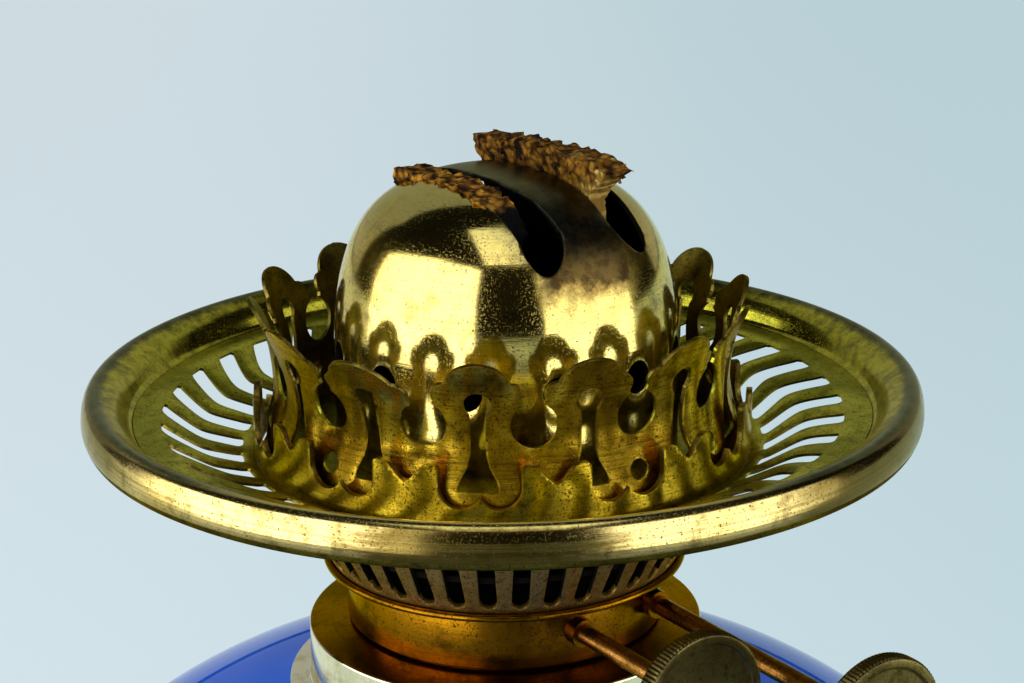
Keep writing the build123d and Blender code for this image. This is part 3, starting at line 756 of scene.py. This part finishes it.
# shade pan: fretted upstand, chevron floor, rolled rim
shadePan = dict(
    upstand=dict(count=11, turn=-38.0, sheet=0.8, bevel=0.08, steps=(0.8, 0.7)),
    radius=33.7, height=2.9, footRise=0.25,
    valley=[(0, 0.56), (0.5, 0.72), (1.0, 1.18), (1.6, 2.0), (2.2, 2.6), (2.9, 2.88)],
    tooth=[(5.9, 2.93), (5.45, 2.82), (5.2, 2.4), (5.2, 1.2)],
    lobeRadius=2.75, lobeApart=2.45, lobeHeight=0.05, lobeArc=(0, -153),
    floor=dict(count=36, turn=7.5, sheet=0.45, steps=(0.7, 0.55), faceUp=True),
    floorEdge=46.5, crease=50.1, lap=0.4, sweep=6.1, innerSweep=0.22, ease=2.4,
    slotWidth=3.5, slotMargin=(1.6, 0.5), slotNose=0.3, noseShare=0.75,
    strip=0.4, stripFrom=0.4, stripSpan=1.2,
    # floor heights outward from the upstand, the slots' ends and the floor's edge
    floorIn=[(0, 0.25), (0.9, 0.62)], floorOut=[(-0.9, -0.3), (0.6, 0.0)],
    floorEnd=[(0, 0.02), (1.5, 0.02)],
    # the roll goes up from the crease, over and back inward from the edge, home to the crease
    edge=56.5, rollLap=0.02, rollEnds=(0.02, -0.8), rollUp=[(0.25, 0.35), (0.9, 1.8), (1.7, 2.9)],
    rollOver=[(3.4, 3.55), (2.5, 4.05), (1.7, 4.2), (0.9, 3.85), (0.45, 3.2), (0.15, 2.2), (0, 0.8),
              (0.1, -0.2), (0.6, -1.3), (1.3, -1.3), (0.85, -0.1), (0.8, 0.8), (0.95, 2.1), (1.4, 3.0),
              (1.9, 3.4), (3.0, 3.0)],
    rollBack=[(2.2, 2.1), (1.6, 1.3), (0.9, -0.3), (-0.2, -0.8)], rollCorner=0.5, underside=-0.3,
)


def makeUpstand(s):
    half = pi * s["radius"] / s["upstand"]["count"]
    low = seatZ - rimZ + s["footRise"]
    side = [(half, low)] + [(half - x, y) for x, y in s["valley"]] + s["tooth"]
    side += arc(s["lobeApart"], s["lobeHeight"], s["lobeRadius"], *s["lobeArc"], 20)
    outline = [(-half, low)] + side + mirrored(side[1:])

    def place(u, v, i):
        return degrees(u / s["radius"]), s["radius"], rimZ + v

    return fretRing("panUpstand", [outline], half, (low, s["height"]), place, s["upstand"],
                    "upstandBrass", "dirtAndShadeEdgeBrass")


def makePanFloor(s):
    # one slot to a cell, bent into a chevron as it is laid round
    inner = s["radius"]
    outer = s["crease"] - s["lap"]
    slotIn = inner + s["slotMargin"][0]
    slotOut = s["floorEdge"] - s["slotMargin"][1]
    bend = (slotIn + slotOut) / 2
    nose = s["slotNose"]
    half = 180 / s["floor"]["count"]
    loop = [(-half, inner), (half, inner), (half, outer), (-half, outer)]

    def slotEdge(r):
        return degrees(s["slotWidth"] / 2 / r)

    flank = [(slotEdge(r) * (s["noseShare"] if r in (slotIn, slotOut) else 1.0), r)
             for r in (slotIn, slotIn + nose, bend, slotOut - nose, slotOut)]
    floorLine = [(inner + r, seatZ - rimZ + z) for r, z in s["floorIn"]]
    floorLine += [(slotOut + r, z) for r, z in s["floorOut"]] + [(outer + r, z) for r, z in s["floorEnd"]]

    def place(u, v, i):
        # two legs eased into one another at the bend, each strip crowned between its slots
        legOut = s["sweep"] * (slotOut - v) / (slotOut - bend)
        legIn = s["sweep"] * (s["innerSweep"] + (1 - s["innerSweep"]) * (v - slotIn) / (bend - slotIn))
        shift = (legOut + legIn - hypot(legOut - legIn, s["ease"])) / 2
        edge = slotEdge(v)
        crown = clamp((abs(u) - edge) / (half - edge))
        inside = clamp((v - slotIn + s["stripFrom"]) / s["stripSpan"])
        inside *= clamp((slotOut + s["stripFrom"] - v) / s["stripSpan"])
        lift = s["strip"] * (sin(crown * pi / 2) - 1) * inside
        return u + shift, v, rimZ + smoothCurve(floorLine, v) + lift

    loops = [loop, flank + mirrored(flank)]
    return fretRing("panFloor", loops, half, (inner, outer), place, s["floor"], "panBrass", "dirtAndShadeEdgeBrass")


def makeRim(s):
    start = s["crease"] - s["lap"] - s["rollLap"]
    line = [(start, s["rollEnds"][0])] + [(s["crease"] + r, z) for r, z in s["rollUp"]]
    line += [(s["edge"] - r, z) for r, z in s["rollOver"]]
    line += [(s["crease"] + r, z) for r, z in s["rollBack"]] + [(start, s["rollEnds"][1])]
    rim = lathe("rolledRim", softCorners([(r, rimZ + z) for r, z in line], s["rollCorner"], 3), 220)
    coat(rim, "rimBrass", "shadedBrass")
    # faces that look down take the darker brass: painted shade
    for face in rim.data.polygons:
        face.material_index = int(face.normal.z < s["underside"])
    return smoothOff(rim, 45)


upstand = makeUpstand(shadePan)
floor = makePanFloor(shadePan)
pan = joinPieces("shadePan", makeRim(shadePan), upstand, floor)
settle(pan, "gallery", "aged_brass", None, "gallery_pan")
print("shade pan made")

# dome with two slots and a row of air holes
domeShape = dict(
    radius=23.2, top=31.95, spring=3.3, skirt=1, squareness=3.15, steps=30, sheet=0.7,
    slots=(dict(y=-6.4, width=5.6, back=-19.2, front=19.4),
           dict(y=7.0, width=6.1, back=-19.2, front=18.9)),
    turn=3.0, shift=(0.3, 0.5), slotMiddle=30, slotDepth=40, bevel=0.1, sootAndShadeFrom=8,
    holes=12, holeRadius=2.2, holeHeight=8.5, holeTurn=-16.3, holeDepth=8,
)


def makeDome(s):
    def shell(inset):
        radius = s["radius"] - inset
        rise = s["top"] - inset - s["spring"]
        power = 2 / s["squareness"]
        points = [(radius, seatZ), (radius, rimZ - s["skirt"])]
        for k in range(s["steps"] + 1):
            a = pi / 2 * k / s["steps"]
            points.append((radius * max(cos(a), 0) ** power,
                           rimZ + s["spring"] + rise * max(sin(a), 0) ** power))
        return points

    dome = lathe("domeShell", shell(0) + shell(s["sheet"])[::-1], 192)
    cutters = []
    for slot in s["slots"]:
        end = slot["width"] / 2
        cutter = added(bpy.ops.mesh.primitive_cylinder_add, vertices=64, radius=end * mm,
                       depth=s["slotDepth"] * mm)
        for vertex in cutter.data.vertices:
            vertex.co.x += (slot["front"] - end if vertex.co.x > 0 else slot["back"] + end) * mm
        lay = Matrix.Translation((0, slot["y"] * mm, (rimZ + s["slotMiddle"]) * mm))
        cutter.data.transform(Matrix.Rotation(radians(s["turn"]), 4, 'Z') @ lay)
        cutters.append(cutter)
    for i in range(s["holes"]):
        a = radians(s["holeTurn"] + 360 / s["holes"] * i)
        spot = (s["radius"] * cos(a) * mm, s["radius"] * sin(a) * mm, (rimZ + s["holeHeight"]) * mm)
        cutters.append(added(bpy.ops.mesh.primitive_cylinder_add, vertices=40, radius=s["holeRadius"] * mm,
                             depth=s["holeDepth"] * mm, rotation=(0, pi / 2, a), location=spot))
        bpy.ops.object.transform_apply(location=True, rotation=True)
    punch = joinPieces("domePunch", *cutters)
    useModifier(dome, 'BOOLEAN', object=punch, operation='DIFFERENCE', solver='EXACT')
    bpy.data.objects.remove(punch, do_unlink=True)
    dome.data.transform(Matrix.Translation((s["shift"][0] * mm, s["shift"][1] * mm, 0)))
    breakEdges(dome, s["bevel"], 60)
    return smoothOff(dome, 35)


dome = makeDome(domeShape)
coat(dome, "domeBrass")
# the inside of the dome, higher up: soot and painted shade
soilAndPaintedLightInside(dome, "sootAndShadeBrass", rimZ + domeShape["sootAndShadeFrom"])
settle(dome, "gallery", "dome_brass", None, "dome")
print("dome made")

# slotted air band and the bead under it
airBand = dict(
    count=38, turn=0, foot=24.0, top=31.4, sheet=0.8, bevel=0.08, steps=(1.6, 1.2),
    slotWidth=2.3, slotFoot=0.8, slotHead=1.6, seam=0.98, beadRadius=0.5, beadArc=(0, 345),
)
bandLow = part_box("air_band")[0][2] / mm
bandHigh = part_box("air_band")[1][2] / mm


def makeBand(s):
    cellHalf = 180 / s["count"]
    meanRadius = (s["foot"] + s["top"]) / 2
    loop = [(-cellHalf, bandLow), (cellHalf, bandLow), (cellHalf, bandHigh), (-cellHalf, bandHigh)]
    half = s["slotWidth"] / 2
    highEnd = bandHigh - s["slotHead"]
    slotLoop = arc(0, bandLow + s["slotFoot"] + half, half, 180, 360, 12)
    slotLoop += [(half, highEnd), (-half, highEnd)]
    slotLoop = [(degrees(u / meanRadius), v) for u, v in slotLoop]

    def place(u, v, i):
        # slots keep their width up the flare, cell edges stay where they meet
        radius = s["foot"] + (s["top"] - s["foot"]) * (v - bandLow) / (bandHigh - bandLow)
        squeeze = meanRadius / radius if abs(u) < cellHalf * s["seam"] else 1.0
        return u * min(squeeze, 1.0 / (abs(u) / cellHalf + tiny)), radius, v

    return fretRing("slottedBand", [loop, slotLoop], cellHalf, (bandLow, bandHigh), place, s, "bandBrass")


band = makeBand(airBand)
# the inside of the slotted band: soot and painted shade
soilAndPaintedLightInside(band, "sootAndShadeBrass")
settle(band, "burner", "amber_brass", None, "air_band")
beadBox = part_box("bead_ring")
beadLine = arc(beadBox[1][0] / mm - airBand["beadRadius"], middle(beadBox, 2) / mm, airBand["beadRadius"],
               *airBand["beadArc"], 23)
bead = smoothOff(lathe("beadRing", beadLine, 180), 60)
settle(bead, "burner", "pale_brass", "amberBrass", "bead_ring")
print("air band made")

# turned pieces: burner cup, collar, fount
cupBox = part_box("burner_cup")
burnerCup = dict(radius=21.8, sheet=0.8, spigot=20.6, seatGap=0.3, corner=0.2)


def makeBurnerCup(s):
    top = cupBox[1][2] / mm
    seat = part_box("collar")[1][2] / mm + s["seatGap"]
    end = cupBox[0][2] / mm
    r, t, spigot = s["radius"], s["sheet"], s["spigot"]
    line = [(r, seat), (r, top), (r - t, top), (r - t, seat + t), (spigot - t, seat + t), (spigot - t, end),
            (spigot, end), (spigot, seat)]
    cup = lathe("burnerCup", softCorners(line, s["corner"], 3), 180)
    return smoothOff(cup)


settle(makeBurnerCup(burnerCup), "burner", "amber_brass", "amberBrass", "burner_cup")
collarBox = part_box("collar")
collarLow = collarBox[0][2] / mm
collarTop = collarBox[1][2] / mm
collarRing = dict(
    flange=30.2, flangeSheet=1.4, side=27.2, inner=26.4, lip=20.9, crown=0.9, sheet=1.2,
    fillet=0.5, filletRise=(1.7, 2.3), shoulder=(0.3, 0.2), innerFoot=1.05, corner=0.35,
    topFacing=0.8, topDepth=2,
)


def makeCollar(s):
    shoulder = collarTop - s["crown"]
    side, inner, lip = s["side"], s["inner"], s["lip"]
    line = [(s["flange"], collarLow), (s["flange"], collarLow + s["flangeSheet"]),
            (side + s["fillet"], collarLow + s["filletRise"][0]), (side, collarLow + s["filletRise"][1]),
            (side, shoulder - s["shoulder"][1]), (side - s["shoulder"][0], shoulder), (lip, collarTop),
            (lip, collarTop - s["sheet"]), (inner, shoulder - s["sheet"]),
            (inner, collarLow + s["innerFoot"])]
    collar = lathe("fountCollar", softCorners(line, s["corner"], 4), 200)
    smoothOff(collar)
    coat(collar, "paleBrass", "amberBrass")
    # faces that look up near the top take the darker amber brass: painted shade
    for face in collar.data.polygons:
        if face.normal.z > s["topFacing"] and face.center.z > (collarTop - s["topDepth"]) * mm:
            face.material_index = 1
    return collar


settle(makeCollar(collarRing), "stand", "pale_brass", None, "collar")
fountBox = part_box("glass_fount")
glassFount = dict(radius=76.0, half=48.1, wall=3.5, neckOut=25.6, neckIn=22.9, steps=72)


def makeFount(s):
    belly = fountBox[0][2] / mm + s["half"]
    neckTop = fountBox[1][2] / mm

    def globe(inset, stop):
        radius = s["radius"] - inset
        sweep = acos(stop / radius) + pi / 2
        turns = [-pi / 2 + sweep * k / s["steps"] for k in range(s["steps"] + 1)]
        return [(max(radius * cos(a), 0.0), belly + (s["half"] - inset) * sin(a)) for a in turns]

    line = globe(0, s["neckOut"]) + [(s["neckOut"], neckTop), (s["neckIn"], neckTop)]
    fount = lathe("blueFount", line + globe(s["wall"], s["neckIn"])[::-1], 160)
    return smoothOff(fount)


settle(makeFount(glassFount), "stand", "blue_glass", "cobaltGlass", "glass_fount")
print("turned pieces made")

# winder shafts and milled disc knobs
winders = dict(a="first_winder", b="second_winder")
knobDisc = dict(
    radius=9.2, thickness=2.0, border=1.3, rise=0.35, boss=2.6, bossLength=3.0, corner=0.18,
    backBreak=0.35, frontBreak=0.3, slope=0.2, pip=[(1.9, 0), (1.6, 0.18), (0, 0.2)],
    mills=104, millDepth=0.14, millWidth=0.2,
)
shaftRod = dict(corner=0.15, steps=40)


def layAlong(piece, x, box):
    # turned upright on the lamp's axis, laid along x through the middle of its box
    spot = Matrix.Translation((x, middle(box, 1), middle(box, 2)))
    piece.data.transform(spot @ Matrix.Rotation(pi / 2, 4, 'Y'))


def makeKnob(tag, s):
    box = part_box("winder_knob_" + tag)
    radius, rise, back = s["radius"], s["rise"], -s["thickness"]
    border = radius - s["border"]
    line = [(0, back - s["bossLength"]), (s["boss"], back - s["bossLength"]), (s["boss"], back),
            (radius - s["backBreak"], back), (radius, back + s["backBreak"]),
            (radius, rise - s["frontBreak"]), (radius - s["frontBreak"], rise), (border, rise),
            (border - s["slope"], 0)] + s["pip"]
    steps = s["mills"] * 2
    knob = lathe("millKnob_" + tag, softCorners(line, s["corner"], 3), steps, closed=False)
    for vertex in knob.data.vertices:
        r = hypot(vertex.co.x, vertex.co.y) / mm
        turn = degrees(atan2(vertex.co.y, vertex.co.x)) / (360 / steps)
        if r > radius - s["millWidth"] and round(turn) % 2:
            vertex.co.x *= 1 - s["millDepth"] / r
            vertex.co.y *= 1 - s["millDepth"] / r
    layAlong(knob, (box[1][0] / mm - rise) * mm, box)
    return smoothOff(knob, 28)


def makeShaft(tag, s):
    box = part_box("winder_shaft_" + tag)
    radius = (box[1][1] - box[0][1]) / 2 / mm
    length = (box[1][0] - box[0][0]) / mm
    line = softCorners([(0, 0), (radius, 0), (radius, length), (0, length)], s["corner"], 2)
    shaft = lathe("winderShaft_" + tag, line, s["steps"], closed=False)
    layAlong(shaft, box[0][0], box)
    return smoothOff(shaft)


for tag, body in winders.items():
    settle(makeKnob(tag, knobDisc), body, "dark_bronze", "darkBronze", "winder_knob_" + tag)
    settle(makeShaft(tag, shaftRod), body, "copper_brass", "copperBrass", "winder_shaft_" + tag)
print("winders made")

# wicks: charred, ragged tops on woven strips
wickTops = dict(
    a=dict(body="first_wick", joint="first_wick_rise", pinch=0.5, swell=0.75, seed=11,
           line=[(-12.5, -0.2), (-6, 0.1), (2, 0.3), (7, -0.3), (10, -1.5), (12.5, -4.0)],
           back=0.0, front=0.7, tip=0.3, flare=11.0),
    b=dict(body="second_wick", joint="second_wick_rise", pinch=0.5, swell=0.65, seed=23,
           line=[(-12.5, -1.3), (-4, -0.3), (4, 0.2), (10, 0.2), (12.5, -0.8)],
           back=2.0, front=2.4, tip=2.3, flare=5.0),
)
wickCloth = dict(
    deepCuts=(60, 30, 20, 14), rows=28, rowStep=0.45, columns=56, layers=6, weld=0.005,
    burnt=11, head=3.2, swellPower=0.6, halfWidth=12.5, seedTurn=2.3,
    upLumps=((620, 0.7), (1500, 0.45)), endLumps=(800, 0.55, 2), sideLumps=((640, 0.55, 3), (1700, 0.45)),
    yarns=26, yarnRadius=(0.24, 0.13), yarnLength=(0.5, 1.1), yarnTilt=1.3, yarnRise=0.15, yarnFrom=2.5,
)


def makeWick(tag, s, cloth):
    low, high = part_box("wick_" + tag)
    wick = added(bpy.ops.mesh.primitive_cube_add, size=1)
    wick.name = "cottonWick_" + tag
    size = [high[i] - low[i] for i in range(3)]
    spot = Matrix.Translation([(low[i] + high[i]) / 2 for i in range(3)])
    wick.data.transform(spot @ Matrix.Diagonal((*size, 1)))
    top = high[2]
    openMesh()
    cutAcross(2, [top - d * mm for d in cloth["deepCuts"]])
    cutAcross(2, [top - k * cloth["rowStep"] * mm for k in range(1, cloth["rows"])])
    cutAcross(0, [low[0] + size[0] * k / cloth["columns"] for k in range(1, cloth["columns"])])
    cutAcross(1, [low[1] + size[1] * k / cloth["layers"] for k in range(1, cloth["layers"])])
    selectAll()
    bpy.ops.mesh.remove_doubles(threshold=cloth["weld"] * mm)
    closeMesh()
    seed = Vector((s["seed"], s["seed"] * cloth["seedTurn"], 0))

    def lump(scale, height, shift=1):
        return noise.noise(co * scale + seed * shift) * height

    for vertex in wick.data.vertices:
        co = vertex.co
        drop = (top - co.z) / mm
        near = max(0.0, 1 - drop / cloth["burnt"])
        if near <= 0:
            continue
        x = co.x / mm
        head = max(0.0, 1 - drop / cloth["head"])
        flare = max(0.0, 1 - drop / s["flare"])
        across = (co.y - (low[1] + high[1]) / 2) / (size[1] / 2)
        lumps = sum(lump(*each) for each in cloth["upLumps"])
        co.z += (smoothCurve(s["line"], x) * near + lumps * near * head) * mm
        reach = s["front"] * flare + s["tip"] * head if x > 0 else -s["back"] * flare
        co.x += (x / cloth["halfWidth"]) ** 2 * reach * mm + lump(*cloth["endLumps"]) * near * mm
        broad, fine = cloth["sideLumps"]
        co.y += (across * s["swell"] * head ** cloth["swellPower"] + lump(*broad) * near
                 + lump(*fine) * near) * mm
    # loose singed ends of yarn
    random.seed(s["seed"])
    tips = [v.co.copy() for v in wick.data.vertices if v.co.z > top - cloth["yarnFrom"] * mm]
    foot, tip = cloth["yarnRadius"]
    tilt = cloth["yarnTilt"]
    yarns = []
    for k in range(cloth["yarns"]):
        root = random.choice(tips)
        yarn = added(bpy.ops.mesh.primitive_cone_add, vertices=5, radius1=foot * mm, radius2=tip * mm,
                     depth=random.uniform(*cloth["yarnLength"]) * mm)
        lean = Matrix.Rotation(random.uniform(-tilt, tilt), 4, 'X')
        lean = lean @ Matrix.Rotation(random.uniform(-tilt, tilt), 4, 'Y')
        rise = Matrix.Translation((0, 0, cloth["yarnRise"] * mm))
        yarn.data.transform(Matrix.Translation(root) @ lean @ rise)
        yarns.append(yarn)
    wick = joinPieces("cottonWick_" + tag, wick, *yarns)
    return smoothOff(wick, 60)


for tag, wickLine in wickTops.items():
    wick = makeWick(tag, wickLine, wickCloth)
    settle(wick, wickLine["body"], "cotton", "charredCotton", "wick_" + tag)
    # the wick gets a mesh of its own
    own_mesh(wick)
print("wicks made")

# floor, lights, camera
studio = dict(
    facing=-33.0, tint=(0.93, 1.0, 1.08), air=(0.75, 0.66, 0.48), airStrength=0.012,
    lights=dict(
        leftBox=dict(turn=-42, apart=0.50, along=-0.335, low=0.02, high=0.69, width=1.07, watts=6.6),
        rightBox=dict(turn=45, apart=0.50, along=0.177, low=0.02, high=0.61, width=0.72, watts=3.0),
        backBox=dict(turn=180, apart=2.4, along=0.0, low=0.2, high=3.4, width=6.4, watts=25.0),
    ),
    overhead=dict(apart=0.325, height=0.93, size=(0.65, 0.42), watts=1.4),
)
paperFloor = dict(
    size=14.0, colour=(0.17, 0.20, 0.215), shader={"Roughness": 0.9, "Specular IOR Level": 0.1},
    glow=((0.575, 0.665, 0.705), (0.455, 0.590, 0.625)), glowAcross=(-0.30, 0.30), least=0.14,
    behind=(-0.25, 0.34), faraway=(0.85, 1.7), farShare=0.8, wide=(0.20, 0.62), wideShare=0.9,
)


def makeFloor(s):
    ground = added(bpy.ops.mesh.primitive_plane_add, size=s["size"], location=(0, 0, 0))
    ground.name = "studioFloor"
    sheet = Sheet("studioFloor")
    dial(sheet.shader, {"Base Color": (*s["colour"], 1), **s["shader"]})
    # painted light: the far half glows a little, the way a lit paper sweep does, brighter to the sides and
    # from one side to the other, leaving a pool of painted shade in front of the lamp
    where = sheet.split(sheet.point)
    away = studio["facing"] + 180
    aside = sheet.along(where, away - 90)
    paths = sheet.add("ShaderNodeLightPath").outputs
    seen = sheet.plus(paths["Is Camera Ray"], paths["Is Glossy Ray"])
    seen = sheet.plus(seen, paths["Is Transmission Ray"])
    radius = sheet.split(sheet.ringPoint())[0]
    faraway = sheet.times(sheet.between(radius, *s["faraway"]), s["farShare"])
    wide = sheet.times(sheet.between(sheet.work('ABSOLUTE', aside), *s["wide"]), s["wideShare"])
    behind = sheet.between(sheet.along(where, away), *s["behind"])
    lit = sheet.work('MAXIMUM', behind, sheet.work('MAXIMUM', faraway, wide))
    lit = sheet.plus(sheet.times(lit, 1 - s["least"]), s["least"])
    sheet.feed("Emission Color", sheet.blend(sheet.between(aside, *s["glowAcross"]), *s["glow"]))
    sheet.feed("Emission Strength", sheet.times(sheet.work('MINIMUM', seen, 1.0), lit))
    ground.data.materials.append(sheet.material)


def addLight(name, place, aim, size, watts):
    lamp = added(bpy.ops.object.light_add, type='AREA', location=place)
    lamp.name = name
    lamp.data.shape = 'RECTANGLE'
    lamp.data.size, lamp.data.size_y = size
    lamp.data.energy = watts
    lamp.data.color = studio["tint"]
    lamp.rotation_euler = (Vector(aim) - Vector(place)).to_track_quat('-Z', 'Y').to_euler()
    lamp.visible_camera = False
    return lamp


makeFloor(paperFloor)
for name, light in studio["lights"].items():
    facing = studio["facing"] + light["turn"]
    aim = bearing(facing + 90) * light["along"]
    aim.z = (light["low"] + light["high"]) / 2
    size = (light["width"], light["high"] - light["low"])
    addLight(name, bearing(facing) * light["apart"] + aim, aim, size, light["watts"])
above = studio["overhead"]
spot = bearing(studio["facing"]) * above["apart"]
spot.z = above["height"]
panel = addLight("overhead", spot, spot - Vector((0, 0, 1)), above["size"], above["watts"])
panel.rotation_euler = (0, 0, radians(studio["facing"]))
scene.world = bpy.data.worlds.new("studioAir")
scene.world.use_nodes = True
dial(scene.world.node_tree.nodes["Background"],
     {"Color": (*studio["air"], 1), "Strength": studio["airStrength"]})

view = dict(
    distance=326.454, elevation=18.954, aim=(1.349, 0, 8.467), roll=-0.583, swing=57.0,
    focal=2403.623, pixels=1024, sensor=36, nearest=0.01,
)


def makeCamera(s):
    el = radians(s["elevation"])
    spot = Vector((0, -s["distance"] * cos(el), s["distance"] * sin(el)))
    ahead = (Vector(s["aim"]) - spot).normalized()
    right = ahead.cross(Vector((0, 0, 1))).normalized()
    up = right.cross(ahead)
    roll = radians(s["roll"])
    right, up = right * cos(roll) + up * sin(roll), up * cos(roll) - right * sin(roll)
    swing = Matrix.Rotation(radians(s["swing"]), 3, 'Z')
    turn = Matrix((swing @ right, swing @ up, swing @ -ahead)).transposed().to_4x4()
    place = swing @ spot + Vector((0, 0, rimZ))
    camera = added(bpy.ops.object.camera_add)
    camera.matrix_world = Matrix.Translation(place * mm) @ turn
    camera.data.sensor_width = s["sensor"]
    camera.data.lens = s["focal"] / s["pixels"] * s["sensor"]
    camera.data.clip_start = s["nearest"]
    scene.camera = camera


makeCamera(view)
scene.view_settings.view_transform = 'Standard'
print("studio ready")
